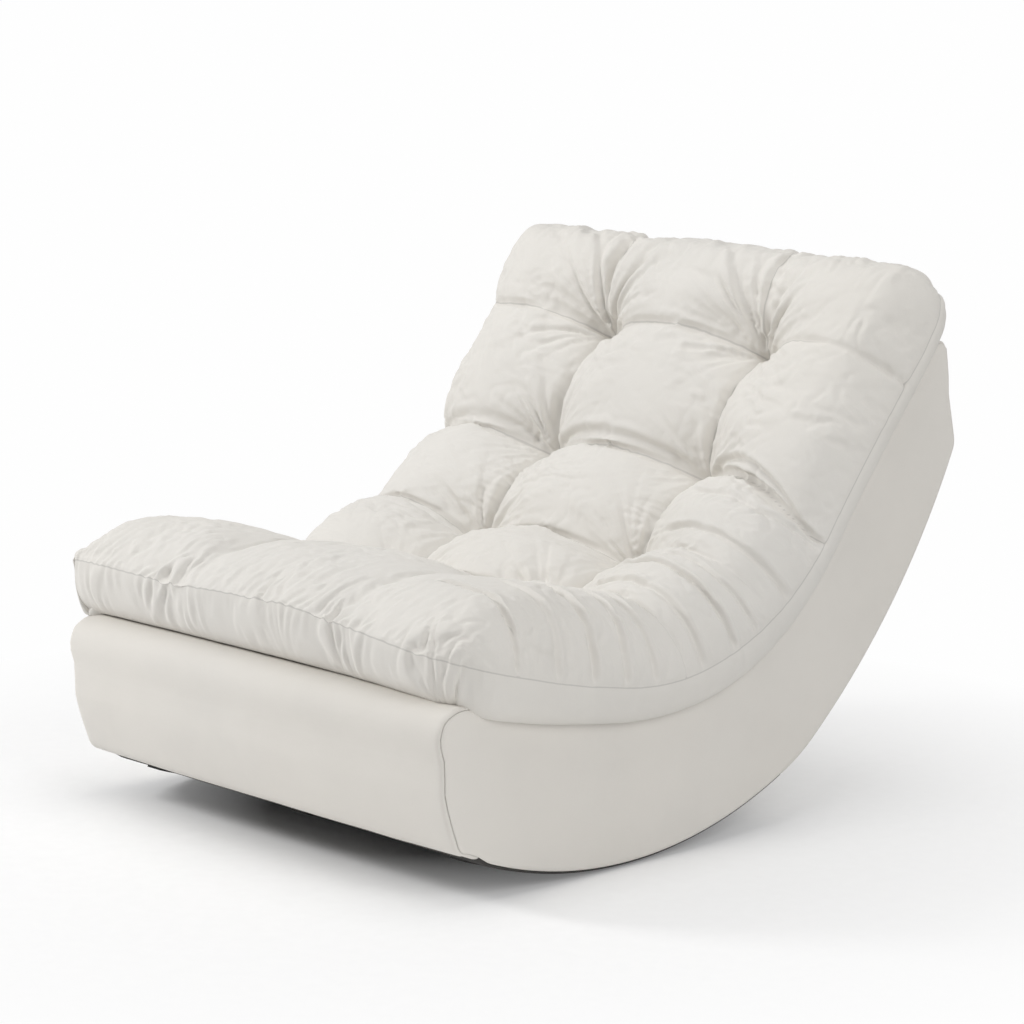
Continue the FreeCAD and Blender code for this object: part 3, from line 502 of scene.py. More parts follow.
def flank(name, hand, seed):
    """A flat side, from the sewn edge inwards."""
    low_at = graded(MARK["toe"] - ROUND, MARK["knee"], 3.0, 12.0, 120)
    high_at = graded(MARK["peak"], MARK["lip"], 3.0, 12.0, 120, len(low_at) - 1)[::-1]
    front_at = graded(MARK["lip"], MARK["toe"], 3.0, 9.0, 90)[::-1]
    rear_at = graded(MARK["knee"], MARK["peak"], 3.0, 9.0, 90, len(front_at) - 1)
    turn = np.array([50.0, 53.0, 58.0, 66.0, 78.0, 90.0])
    ex, en = edge_profile(turn)
    tuck = np.array([1.6, 0.5, 0.1, 0, 0, 0])
    ex = ex - tuck * math.sin(SEW)
    en = en - tuck * math.cos(SEW)
    inset = EDGE + 3.0

    def inside(at):
        p, n = on_loop(at)
        return p + n * (swell(at) - inset)[:, None]

    bottom, top, left, right = inside(low_at), inside(high_at), inside(front_at), inside(rear_at)
    u = (low_at - low_at[0]) / (low_at[-1] - low_at[0])
    v = (front_at - front_at[0]) / (front_at[-1] - front_at[0])
    U, W = np.meshgrid(u, v, indexing="xy")
    a = (1 - W)[..., None] * bottom[None, :, :] + W[..., None] * top[None, :, :]
    b = (1 - U)[..., None] * left[:, None, :] + U[..., None] * right[:, None, :]
    c = ((1 - U) * (1 - W))[..., None] * bottom[0] + (U * (1 - W))[..., None] * bottom[-1]
    c = c + ((1 - U) * W)[..., None] * top[0] + (U * W)[..., None] * top[-1]
    sheet = a + b - c
    rows, cols = sheet.shape[:2]
    faces = grid_faces(rows, cols, hand < 0)
    flat_pts = sheet.reshape(-1, 2)
    loop_at = np.concatenate([low_at[:-1], rear_at[:-1], high_at[::-1][:-1], front_at[::-1][:-1]])
    rim_ids = np.concatenate([
        np.arange(cols - 1),
        np.arange(rows - 1) * cols + cols - 1,
        (rows - 1) * cols + np.arange(cols - 1, 0, -1),
        np.arange(rows - 1, 0, -1) * cols,
    ])
    p, n = on_loop(loop_at)
    p = p + n * swell(loop_at)[:, None]
    every = np.arange(0, ROUND, 4.0)
    edge, away = on_loop(every)
    edge = edge + away * swell(every)[:, None]
    gap = np.array([np.min(np.hypot(edge[:, 0] - q[0], edge[:, 1] - q[1])) for q in flat_pts])
    deep = np.clip((gap - inset) / 60.0, 0, 1)
    three = np.concatenate([np.full((len(flat_pts), 1), HALF), flat_pts], 1)
    wave = (wobble(three, 0.008, seed) * 0.9 + wobble(three, 0.021, seed + 5) * 0.35) * deep
    xs = HALF + wave + 0.8 * deep
    verts = np.concatenate([xs[:, None], flat_pts], 1)
    dist = list(gap)
    prev = rim_ids
    for k in range(len(turn) - 1, -1, -1):
        q = p + n * en[k]
        start = len(verts)
        ring = np.concatenate([np.full((len(q), 1), ex[k]), q], 1)
        verts = np.concatenate([verts, ring])
        dist += [EDGE * math.radians(turn[k] - 50)] * len(q)
        ids = start + np.arange(len(q))
        for i in range(len(q)):
            j = (i + 1) % len(q)
            quad = [int(prev[i]), int(ids[i]), int(ids[j]), int(prev[j])]
            faces.append(quad if hand > 0 else quad[::-1])
        prev = ids
    verts[:, 0] *= hand
    obj = mesh_object(name, verts * 0.001, faces, base_cloth)
    float_attribute(obj, "seam", np.array(dist) * 0.001)
    return obj


left_side = flank("base_left_side", 1, 11)
right_side = flank("base_right_side", -1, 12)
for obj, covered in (
    (base_front, ("front_cover", "front_padding")),
    (base_under, ("underside_cloth",)),
    (base_back, ("back_cover", "back_padding")),
    (base_deck, ("deck_cover", "deck_padding")),
    (left_side, ("left_side_cover", "left_side_padding")),
    (right_side, ("right_side_cover", "right_side_padding")),
):
    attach(obj, "base")
    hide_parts(*covered)


# Cushion: a grid over its flat pattern, x across and s along the deck.
XT = 177.0
ROWS = [466.0, 692.0, 918.0, 1144.0]
LENGTH = 1327.0
LEAD = (T1[0] - LIP[0]) / FALL[0] + 8.0
BEND = DECK_R * (fall + rise)


def deck_at(s):
    """Points and slopes on the deck at lengths s."""
    s = np.asarray(s, float)
    a = np.clip((s - LEAD) / DECK_R - fall, -fall, rise)
    y = np.where(s <= LEAD, T1[0] - FALL[0] * (LEAD - s), DECK[0] + DECK_R * np.sin(a))
    z = np.where(s <= LEAD, T1[1] - FALL[1] * (LEAD - s), DECK[1] - DECK_R * np.cos(a))
    more = np.maximum(s - LEAD - BEND, 0)
    return y + RISE[0] * more, z + RISE[1] * more, a


def place(x, s, n):
    y, z, a = deck_at(s)
    return np.stack([x, y - n * np.sin(a), z + n * np.cos(a)], -1)


# Along the deck: the underside and the side seam, and how low the band hangs beside the base.
UNDERSIDE = np.array([
    (0, 34), (12, 28), (38, 22), (70, 17), (110, 9), (160, 5), (1285, 5), (1300, 8), (1327, 24),
])
FRONT_TUCK = 56.0
REAR_TUCK = 46.0
RIGHT_TUCK = 29.0
LEFT_TUCK = 64.0
BULGE = 4.0
LEFT_BULGE = -8.0
SIDE_SEAM = np.array([
    (0, 80), (51, 68), (90, 61), (142, 54), (195, 47), (259, 41), (344, 38), (465, 36), (700, 38),
    (1000, 46), (1110, 46), (1200, 44), (1270, 50), (1310, 55), (1327, 56),
])
HANG = np.array([
    (0, 14), (40, 0), (90, -10), (150, -16), (220, -20), (380, -18), (460, -18), (560, -21), (650, -21),
    (720, -12), (800, -3), (880, 2), (1000, 6), (1150, 6), (1230, 6), (1290, 10), (1327, 24),
])
LEFT_HANG = 4.0
# Across the front: the seam, and how low the band comes on the lip of the base.
FRONT_SEAM = np.array([
    (-455, 99), (-330, 96), (-191, 95), (-60, 101), (65, 104), (160, 98), (243, 90), (358, 78), (450, 73),
])
FRONT_HANG = np.array([(-455, 11), (-373, 12), (97, 13), (266, 10), (380, 4), (462, -3)])
WIDTHS = np.array([
    (0, 466), (60, 470), (300, 471), (692, 467), (918, 461), (1144, 461), (1280, 463), (1327, 462),
])
LEFT_RIM = np.array([(0, 82), (200, 70), (500, 58), (800, 54), (1150, 52), (1327, 82)])
RIGHT_RIM = np.array([(0, 104), (200, 98), (500, 88), (800, 80), (1150, 80), (1327, 94)])
# Rows of pillows from the front: crease, crown and crease, each with its place along the deck and the
# heights of the right pillow, the middle one, the left one and the column crease between them.
PILLOWS = [
    ((-60, 96, 98, 104, 92), (160, 160, 164, 171, 144), (466, 140, 118, 104, 70)),
    ((466, 140, 118, 104, 70), (585, 156, 158, 150, 108), (692, 142, 116, 124, 70)),
    ((692, 142, 116, 124, 70), (800, 148, 149, 132, 102), (918, 108, 110, 94, 62)),
    ((918, 108, 110, 94, 62), (1040, 138, 147, 132, 98), (1144, 137, 138, 136, 74)),
    ((1144, 137, 138, 136, 74), (1256, 144, 161, 160, 138), (1400, 112, 134, 134, 122)),
]
# The front roll falls away sooner on its left end than on the rest.
LEFT_ROLL = np.array([
    (-60, 104), (40, 156), (100, 171), (140, 170), (185, 161), (250, 140), (330, 122), (400, 110), (466, 104),
])


def pillow_heights(s):
    """Heights of the right, middle and left pillows and of the column crease at lengths s."""
    tops = np.zeros((len(s), 4))
    for low, high, end in PILLOWS:
        on = (s >= low[0]) & (s <= end[0])
        rise_in = np.clip((high[0] - s[on]) / (high[0] - low[0]), 0, 1) ** 2.2
        rise_out = np.clip((s[on] - high[0]) / (end[0] - high[0]), 0, 1) ** 2.2
        for k in range(4):
            top = high[k + 1]
            tops[on, k] = top - (top - low[k + 1]) * rise_in - (top - end[k + 1]) * rise_out
    at = np.arange(-120.0, 540.0, 2.0)
    near = np.exp(-(np.arange(-30, 31) / 11.0) ** 2)
    rough = np.pad(np.interp(at, LEFT_ROLL[:, 0], LEFT_ROLL[:, 1]), 30, "edge")
    left = np.convolve(rough, near / near.sum(), "valid")
    tops[:, 2] = np.where(s < 466, np.interp(s, at, left), tops[:, 2])
    return tops


CELL = 4.0
# Height that the cloth run gives back to the pillows.
TAKE = 9.0


def even(length):
    """An even number of cells, so that the cloth run can take every second line."""
    return 2 * int(round(length / CELL / 2))


def rim_angles(width, height):
    return np.linspace(0, math.pi / 2, even((width + height) * 0.78) + 1)


mid_x = np.linspace(0, 1, even(XT) + 1)
flat_cells = even(455 - 76 - XT)
flat_x = np.linspace(0, 1, flat_cells + 1)[1:]
rim_x = rim_angles(78, 105)[::-1][1:]
FRONT_RIM = 104.0
REAR_RIM = 80.0
CORNER = {"right_front": 1.0, "left_front": 0.42, "right_rear": 0.9, "left_rear": 0.8}
front_phi = rim_angles(FRONT_RIM, 80)
rear_phi = rim_angles(REAR_RIM, 55)[::-1]
row_s = [("front", a) for a in front_phi]
stops = [FRONT_RIM] + ROWS + [LENGTH - REAR_RIM]
for a, b in zip(stops, stops[1:]):
    count = even(b - a)
    row_s += [("flat", v) for v in np.linspace(a, b, count + 1)[1:]]
row_s += [("rear", a) for a in rear_phi[1:]]

NR = len(row_s)
half_n = len(mid_x) - 1 + len(flat_x) + len(rim_x)
NC = 2 * half_n + 1

base_s = np.zeros(NR)
fs = np.ones(NR)
es_front = np.zeros(NR)
es_rear = np.zeros(NR)
for i, (kind, v) in enumerate(row_s):
    if kind == "front":
        es_front[i] = math.cos(v)
        fs[i] = math.sin(v)
        base_s[i] = FRONT_RIM * (1 - math.cos(v))
    elif kind == "flat":
        base_s[i] = v
    else:
        es_rear[i] = math.cos(v) ** (2 / 3)
        fs[i] = math.sin(v) ** (2 / 3)
        base_s[i] = LENGTH - REAR_RIM * (1 - es_rear[i])

half_of = np.interp(base_s, WIDTHS[:, 0], WIDTHS[:, 1])
rim_left = np.interp(base_s, LEFT_RIM[:, 0], LEFT_RIM[:, 1])
rim_right = np.interp(base_s, RIGHT_RIM[:, 0], RIGHT_RIM[:, 1])
ex_half = np.concatenate([np.zeros(len(mid_x) + len(flat_x)), np.cos(rim_x)])
fx_half = np.concatenate([np.ones(len(mid_x) + len(flat_x)), np.sin(rim_x)])
grid_x = np.zeros((NR, NC))
grid_s = np.zeros((NR, NC))
fx = np.zeros(NC)
ex = np.zeros(NC)
fx[half_n:] = fx_half
fx[:half_n + 1] = fx_half[::-1]
ex[half_n:] = ex_half
ex[:half_n + 1] = ex_half[::-1]


def half_row(b, w):
    return np.concatenate([mid_x * XT, XT + flat_x * (b - w - XT), b - w * (1 - np.cos(rim_x))])


for i in range(NR):
    grid_x[i, half_n:] = half_row(half_of[i], rim_right[i])
    grid_x[i, :half_n + 1] = -half_row(half_of[i], rim_left[i])[::-1]
    grid_s[i, :] = base_s[i]

# Corners slightly rounded in plan.
es_all = es_front + es_rear
P = ex[None, :] * np.ones((NR, 1))
Q = es_all[:, None] * np.ones((1, NC))
right = np.arange(NC)[None, :] > half_n
ahead = np.arange(NR)[:, None] < NR // 2
bend = np.where(
    right,
    np.where(ahead, CORNER["right_front"], CORNER["right_rear"]),
    np.where(ahead, CORNER["left_front"], CORNER["left_rear"]),
)
P2 = P * np.sqrt(1 - bend * Q ** 2 / 2)
Q2 = Q * np.sqrt(1 - bend * P ** 2 / 2)
rim_of = np.where(grid_x > 0, rim_right[:, None], rim_left[:, None])
grid_x = grid_x - np.sign(grid_x) * rim_of * (P - P2)
deep_s = np.where(es_front > 0, FRONT_RIM, np.where(es_rear > 0, -REAR_RIM, 0.0))
grid_s = grid_s + deep_s[:, None] * (Q - Q2)

edge_drop = 70 * np.clip((grid_x - XT) / 280, 0, 1) ** 2 * np.exp(-((grid_s - 870) / 150) ** 2)
tops = pillow_heights((grid_s + edge_drop).ravel()).reshape(NR, NC, 4)
ax = np.abs(grid_x)
front_seam = np.exp(-np.maximum(grid_s, 0) / 45.0)
ns = np.interp(grid_s, SIDE_SEAM[:, 0], SIDE_SEAM[:, 1])
ns = ns + front_seam * (np.interp(grid_x, FRONT_SEAM[:, 0], FRONT_SEAM[:, 1]) - SIDE_SEAM[0, 1])
outer = np.where(grid_x > 0, tops[..., 0], tops[..., 2])
nt = tops[..., 3]
CROWN_X = 330.0
TUFT_DEEP = 22.0
TUFT_WIDE = 28.0
mid_h = nt + (tops[..., 1] - nt) * (1 - np.clip(ax / XT, 0, 1) ** 3.0)
out_h = nt + (outer - nt) * (1 - np.clip((CROWN_X - ax) / (CROWN_X - XT), 0, 1) ** 2.8)
H = np.where(ax <= XT, mid_h, out_h)
H = nt + (H - nt) * (1 - TAKE / 60.0)
for s0 in ROWS:
    r = np.hypot(ax - XT, grid_s - s0)
    H = H - TUFT_DEEP * np.exp(-r / TUFT_WIDE)
rim_x_fall = np.maximum(fx[None, :], 1e-3)
rim_s_fall = np.maximum(fs[:, None], 1e-3)
F = (rim_x_fall ** -4.0 + rim_s_fall ** -4.0 - 1) ** -0.25
F = np.where((fx[None, :] < 1e-9) | (fs[:, None] < 1e-9), 0.0, F)
grid_n = ns + (H - ns) * F
top_pts = place(grid_x.ravel(), grid_s.ravel(), grid_n.ravel()).reshape(NR, NC, 3)

# Lengths along the cloth, from which the folds are drawn.
du = np.linalg.norm(np.diff(top_pts, axis=1), axis=2)
dv = np.linalg.norm(np.diff(top_pts, axis=0), axis=2)
from_left = np.concatenate([np.zeros((NR, 1)), np.cumsum(du, 1)], 1)
from_front = np.concatenate([np.zeros((1, NC)), np.cumsum(dv, 0)], 0)
to_side = np.minimum(from_left, from_left[:, -1:] - from_left)
to_rear = from_front[-1:, :] - from_front
border = np.minimum(to_side, np.minimum(from_front, to_rear))


def field(a, b, c):
    """Smooth noise from -1 to 1 over three arrays."""
    a, b, c = np.broadcast_arrays(a, b, c)
    flat = [noise.noise(Vector(v)) for v in zip(a.ravel(), b.ravel(), c.ravel())]
    return np.array(flat).reshape(a.shape)


def creases(q, width):
    """Narrow valleys where a noise field passes through zero, level on average."""
    return 0.32 - np.where(q > 0, np.exp(-(q / width) ** 2), np.exp(-(q / (0.42 * width)) ** 2))


def tuft_folds():
    """Pleats running out from each tuft, longer towards the top edge."""
    out = np.zeros((NR, NC))
    for k, r0 in enumerate(LINES):
        for c0 in COLS:
            u = from_left - from_left[:, c0:c0 + 1]
            v = from_front - from_front[r0:r0 + 1, :]
            r = np.hypot(u, v)
            near = r < 300
            ru, rv, rr = u[near], v[near], np.maximum(r[near], 1.0)
            cu, cv = ru / rr, rv / rr
            seed = k * 7.3 + (c0 > NC // 2) * 31.7
            q = field(cu * 4.2 + seed, cv * 4.2, rr / 150 + seed)
            q2 = field(cu * 1.6 + seed, cv * 1.6 + 9, rr / 200 + seed)
            q3 = field(cu * 8.0 + seed, cv * 8.0 + 2, rr / 110 + seed)
            weight = np.clip(0.6 + 1.1 * field(cu * 0.9 + seed, cv * 0.9 + 4, seed), 0.12, 1.3)
            reach = 58 + 34 * cu ** 2
            if k == 3:
                up = np.clip((cv - 0.25) / 0.6, 0, 1)
                reach = reach + 62 * up
                weight = np.maximum(weight, 1.25 * up)
            size = (1 - np.exp(-((rr / 18) ** 2))) * np.exp(-rr / reach)
            out[near] += weight * size * (21.0 * creases(q, 0.4) + 11.0 * q2)
            thin = (1 - np.exp(-((rr / 30) ** 4))) * np.exp(-rr / (reach * 0.7))
            out[near] += (0.5 + 0.5 * weight) * thin * 11.0 * creases(q3, 0.45)
    return out


# Bunches of puckers along the front: place across, strength and width.
BUNCHES = ((-205, 1.3, 40), (18, 0.9, 22), (190, 1.3, 34), (395, 1.0, 40), (-400, 0.35, 30))


def gathers(x, s, front, rear, side, below):
    """Puckers crossing the sewn edge, in bunches, on the top and on the band below it."""
    lean = 0.9 * field(x / 70, 3.0, 5.0)
    across = x + lean * (front - below) + 5 * field(x / 36, (front - below) / 26, 8.0)
    bunch = 0.36 + 0.5 * field(x / 55, 1.0, 2.0)
    for x0, strong, wide in BUNCHES:
        bunch = bunch + strong * np.exp(-((x - x0) / wide) ** 2)
    q = field(across / 20, (front - below) / 60, 11.0)
    out = np.clip(bunch, 0.08, 1.6) * 14.0 * creases(q, 0.4) * np.exp(-(front + below) / 50)
    q = field(x / 24 + 0.4 * lean * rear / 24, (rear - below) / 80, 17.0)
    top = np.clip(0.6 + field(x / 60, 7.0, 2.0), 0.15, 1.3)
    out += top * 15.0 * creases(q, 0.4) * np.exp(-(rear + below) / 58)
    hand = np.where(x > 0, 23.0, 29.0)
    q = field(s / 30, (side - below) / 90, hand)
    amount = np.clip(0.3 + 0.8 * field(s / 70, hand / 10, 4.0), 0.03, 1.0)
    return out + amount * 6.0 * creases(q, 0.34) * np.exp(-(side + below) / 40)


def line_fold(s_line, deep, wide, low, high):
    """A crease across the cloth along s_line, between two places across."""
    end = np.clip((grid_x - low) / 30, 0, 1) * np.clip((high - grid_x) / 30, 0, 1)
    end = end * np.clip(to_side / 12, 0, 1)
    d = grid_s - s_line
    return end * deep * (0.35 * np.exp(-((d - 1.6 * wide) / (1.3 * wide)) ** 2) - np.exp(-(d / wide) ** 2))


def roll_folds():
    """Creases that cross the long roll on the sitter's left, and the deep fold over it."""
    out = np.zeros((NR, NC))
    u = np.clip((grid_x - XT) / 280, 0, 1)
    bow = np.sin(math.pi * u)
    for s0, deep, wide, low in (
        (128, 4.2, 5, 250), (206, 2.6, 7, 300), (282, 4.2, 6, 240), (350, 3.6, 6, 270), (412, 3.2, 7, 230),
        (520, 3.2, 8, 215), (600, 4.2, 6, 230), (650, 2.6, 6, 300), (742, 3.0, 8, 220), (846, 2.6, 8, 230),
    ):
        sway = 9 * field(grid_x / 70, s0 / 10, 3.0)
        out += line_fold(s0 + 10 * bow - 14 * u + sway, 1.15 * deep, 0.8 * wide, low, 900)
    drop = 70 * u ** 2
    ease = 1 - 0.7 * u ** 3
    out += ease * line_fold(918 + 27 * bow - drop, 5.5, 4.5, 176, 900)
    out += ease * line_fold(918 + 6 * bow - drop, 4.5, 4, 180, 900)
    out += 0.8 * ease * line_fold(918 - 13 * bow - drop, 2.5, 5, 215, 900)
    middle = np.sin(math.pi * np.clip((grid_x + XT) / 354, 0, 1))
    out += line_fold(922 + 17 * middle, 4.0, 6, -176, 176)
    left = np.clip((-grid_x - XT) / 280, 0, 1)
    mirror = np.clip((-grid_x - 176) / 30, 0, 1)
    d = grid_s - (918 + 16 * np.sin(math.pi * left))
    out -= mirror * 4.5 * np.exp(-(d / 8) ** 2)
    return out


def soft_waves():
    broad = field(grid_x / 85, grid_s / 70, 41.0)
    warp = field(grid_x / 60, grid_s / 60, 53.0)
    lines = field(grid_x / 52 + warp, grid_s / 24 + 0.6 * warp, 47.0)
    other = field(grid_x / 26 + warp, grid_s / 58 - 0.5 * warp, 59.0)
    patch = np.clip(0.25 + 1.4 * field(grid_x / 120, grid_s / 110, 61.0), 0, 1)
    patch2 = np.clip(0.25 + 1.4 * field(grid_x / 120, grid_s / 110, 67.0), 0, 1)
    return 2.8 * broad + 3.8 * patch * creases(lines, 0.3) + 3.4 * patch2 * creases(other, 0.3)


def grid_normals(p):
    a = np.gradient(p, axis=0)
    b = np.gradient(p, axis=1)
    n = np.cross(b, a)
    return n / np.maximum(np.linalg.norm(n, axis=2), 1e-12)[..., None]


pucker = gathers(grid_x, grid_s, from_front, to_rear, to_side, 0.0)

# The border loop, then the lower band down to the underside.
loop_ids = np.concatenate([
    np.arange(NC - 1),
    np.arange(NR - 1) * NC + NC - 1,
    (NR - 1) * NC + np.arange(NC - 1, 0, -1),
    np.arange(NR - 1, 0, -1) * NC,
])
lx = grid_x.ravel()[loop_ids]
ls = grid_s.ravel()[loop_ids]
tx = np.roll(lx, -1) - np.roll(lx, 1)
ts = np.roll(ls, -1) - np.roll(ls, 1)
size = np.hypot(tx, ts)
out_x = ts / size
out_s = -tx / size
ln = grid_n.ravel()[loop_ids]
on_side = np.clip((np.abs(out_x) - 0.35) / 0.6, 0, 1)
hang_end = np.where(ls < LENGTH / 2, np.interp(lx, FRONT_HANG[:, 0], FRONT_HANG[:, 1]), 24.0)
hang_side = np.where(lx > 0, np.interp(ls, HANG[:, 0], HANG[:, 1]), np.where(ls > 1290, 14.0, LEFT_HANG))
hang = hang_side * on_side + hang_end * (1 - on_side)
tuck_end = np.where(ls < LENGTH / 2, FRONT_TUCK, REAR_TUCK)
tuck = np.where(lx > 0, RIGHT_TUCK, LEFT_TUCK) * on_side + tuck_end * (1 - on_side)


def eased(values, reach=14):
    """Values round the loop, averaged over their neighbours."""
    span = np.exp(-(np.arange(-2 * reach, 2 * reach + 1) / reach) ** 2)
    padded = np.concatenate([values[-2 * reach:], values, values[:2 * reach]])
    return np.convolve(padded, span / span.sum(), "valid")


out_x, out_s = eased(out_x), eased(out_s)
size = np.hypot(out_x, out_s)
out_x, out_s = out_x / size, out_s / size
hang, tuck, on_side = eased(hang, 26), eased(tuck, 26), eased(on_side)
# The sharper corner takes less tuck, so that the band does not cross itself there.
tight = np.where((lx < 0) & (ls < LENGTH / 2), 4 * on_side * (1 - on_side), 0.0)
tuck = tuck * (1 - 0.62 * eased(tight, 10))
loop_far = [a.ravel()[loop_ids] for a in (from_front, to_rear, to_side)]
bulge = np.where(lx > 0, BULGE, LEFT_BULGE) * on_side
verts = list(top_pts.reshape(-1, 3))
faces = grid_faces(NR, NC)
prev = loop_ids
BAND_TURNS = np.radians([7, 15, 24, 33, 43, 53, 63, 73, 82, 90, 90, 90])
for k, a in enumerate(BAND_TURNS):
    inward = tuck * (1 - math.cos(a)) - bulge * math.sin(2 * a)
    pn = ln + (hang - ln) * math.sin(a)
    if k > 9:
        inward = tuck + (2.5, 14.0)[k - 10]
    down = (ln - hang) * a * 0.8
    gather = gathers(lx, ls, *loop_far, down) * (1 - 0.65 * np.exp(-down / 9))
    px = lx - out_x * (inward - gather)
    ps = ls - out_s * (inward - gather)
    if k > 9:
        pn = np.maximum(np.interp(ps, UNDERSIDE[:, 0], UNDERSIDE[:, 1]), 3.0)
    ids = len(verts) + np.arange(len(loop_ids))
    verts += list(place(px, ps, pn))
    faces += np.stack([prev, ids, np.roll(ids, -1), np.roll(prev, -1)], 1).tolist()
    prev = ids
verts = np.array(verts) * 0.001
TOPS = NR * NC


def column_of(x):
    """Grid column nearest to a place across the cushion, at the middle rows."""
    return int(np.argmin(np.abs(grid_x[NR // 2] - x)))


def row_of(s):
    return int(np.argmin(np.abs(base_s - s)))


COLS = [column_of(-XT), column_of(XT)]
LINES = [row_of(s) for s in ROWS]


def simulate(start, frames):
    """Blow the cloth up against its sewn lines, then read the shape back."""
    rows, cols = start.shape[:2]
    cloth = mesh_object("cushion_cloth_run", start.reshape(-1, 3), grid_faces(rows, cols), cushion_cloth)
    pinned = np.zeros((rows, cols), bool)
    pinned[0, :] = pinned[-1, :] = True
    pinned[:, 0] = pinned[:, -1] = True
    for r in LINES:
        for c in COLS:
            pinned[r // 2, c // 2] = True
    near_zip = (np.abs(grid_x) < 345) & (grid_s > LENGTH - 3) & (grid_n < 76)
    pinned |= near_zip[::2, ::2]
    pin = cloth.vertex_groups.new(name="pin")
    pin.add(np.nonzero(pinned.ravel())[0].tolist(), 1.0, "REPLACE")
    spare = np.ones((rows, cols), bool)
    spare[[r // 2 for r in LINES], :] = False
    spare[:, [c // 2 for c in COLS]] = False
    more = cloth.vertex_groups.new(name="spare")
    more.add(np.nonzero(spare.ravel())[0].tolist(), 1.0, "REPLACE")
    mod = cloth.modifiers.new("cloth", "CLOTH")
    st = mod.settings
    st.quality = 6
    st.mass = 0.0012
    st.air_damping = 1.0
    st.tension_stiffness = 12
    st.compression_stiffness = 12
    st.shear_stiffness = 5
    st.bending_stiffness = 0.06
    st.tension_damping = 4
    st.compression_damping = 4
    st.shear_damping = 3
    st.bending_damping = 0.4
    st.vertex_group_mass = "pin"
    st.pin_stiffness = 1.0
    st.vertex_group_shrink = "spare"
    st.shrink_min = -0.01
    st.shrink_max = -0.10
    st.use_pressure = True
    st.uniform_pressure_force = 6.0
    st.use_pressure_volume = True
    st.target_volume = 0.0
    st.effector_weights.gravity = 0.0
    mod.collision_settings.use_collision = False
    mod.collision_settings.use_self_collision = False
    mod.point_cache.frame_start = 1
    mod.point_cache.frame_end = frames
    scene.frame_start = 1
    scene.frame_end = frames
    for f in range(1, frames + 1):
        scene.frame_set(f)
    done = cloth.evaluated_get(bpy.context.evaluated_depsgraph_get())
    end = np.zeros(rows * cols * 3)
    done.data.vertices.foreach_get("co", end)
    bpy.data.objects.remove(cloth)
    scene.frame_set(1)
    return end.reshape(rows, cols, 3)


def between_lines(a):
    """A grid of values with one more line between each two, on a smooth curve."""
    for axis in (0, 1):
        a = np.moveaxis(a, axis, 0)
        out = np.zeros((2 * len(a) - 1,) + a.shape[1:])
        out[::2] = a
        before = np.concatenate([a[:1], a[:-2]])
        after = np.concatenate([a[2:], a[-1:]])
        out[1::2] = (9 * (a[:-1] + a[1:]) - before - after) / 16
        a = np.moveaxis(out, 0, axis)
    return a


RUN_FRAMES = 24
MOVE_CAP = 0.028
shape = verts.copy()
start = verts[:TOPS].reshape(NR, NC, 3)[::2, ::2].copy()
still = start.copy()
start[1:-1, 1:-1, 2] += rng.normal(0, 0.0004, (start.shape[0] - 2, start.shape[1] - 2))
move = simulate(start, RUN_FRAMES) - still
far = np.linalg.norm(move, axis=2)
move = move * np.minimum(1.0, MOVE_CAP / np.maximum(far, 1e-9))[..., None]
shape[:TOPS] += between_lines(move).reshape(-1, 3)

# Folds in the cloth.
rest = shape[:TOPS].reshape(NR, NC, 3)
calm = 1 - np.exp(-border / 9.0)
folds = tuft_folds() * calm + roll_folds() * 2.2 * calm + soft_waves() * calm
facing = grid_normals(rest)
shape[:TOPS] += (facing * ((folds + pucker * (0.35 + 0.65 * calm)) * 0.001)[..., None]).reshape(-1, 3)

# The underside sheet, sewn inside the band's lower edge.
allv = list(shape)
pieces = list(faces)
us = graded(0, 1, 0.012, 0.035, 0.12)
vs = graded(0, 1, 0.008, 0.02, 0.08)
sheet_s = FRONT_TUCK + 2 + vs * (LENGTH - FRONT_TUCK - REAR_TUCK - 4)
sheet_b = np.interp(sheet_s, WIDTHS[:, 0], WIDTHS[:, 1]) - 36.0
sx = (us[None, :] * 2 - 1) * sheet_b[:, None]
sx = np.where(sx < 0, sx * (1 - 34.0 / sheet_b[:, None]), sx)
ss = sheet_s[:, None] * np.ones((1, len(us)))
cut = np.clip(1 - np.minimum(sheet_b[:, None] - np.abs(sx), 60) / 60, 0, 1)
end_d = np.minimum(ss - ss[0, 0], ss[-1, 0] - ss)
cut_s = np.clip(1 - np.minimum(end_d, 60) / 60, 0, 1)
sx = sx - np.sign(sx) * 60 * (cut - cut * np.sqrt(1 - cut_s ** 2 / 2))
to_mid = np.where(ss < LENGTH / 2, 1.0, -1.0)
ss = ss + to_mid * 60 * (cut_s - cut_s * np.sqrt(1 - cut ** 2 / 2))
sn = np.interp(ss.ravel(), UNDERSIDE[:, 0], UNDERSIDE[:, 1]) + 0.7
first = len(allv)
allv += list(place(sx.ravel(), ss.ravel(), sn) * 0.001)
pieces += [[v + first for v in f] for f in grid_faces(len(vs), len(us), True)]
cushion = mesh_object("cushion", np.array(allv), pieces, cushion_cloth)

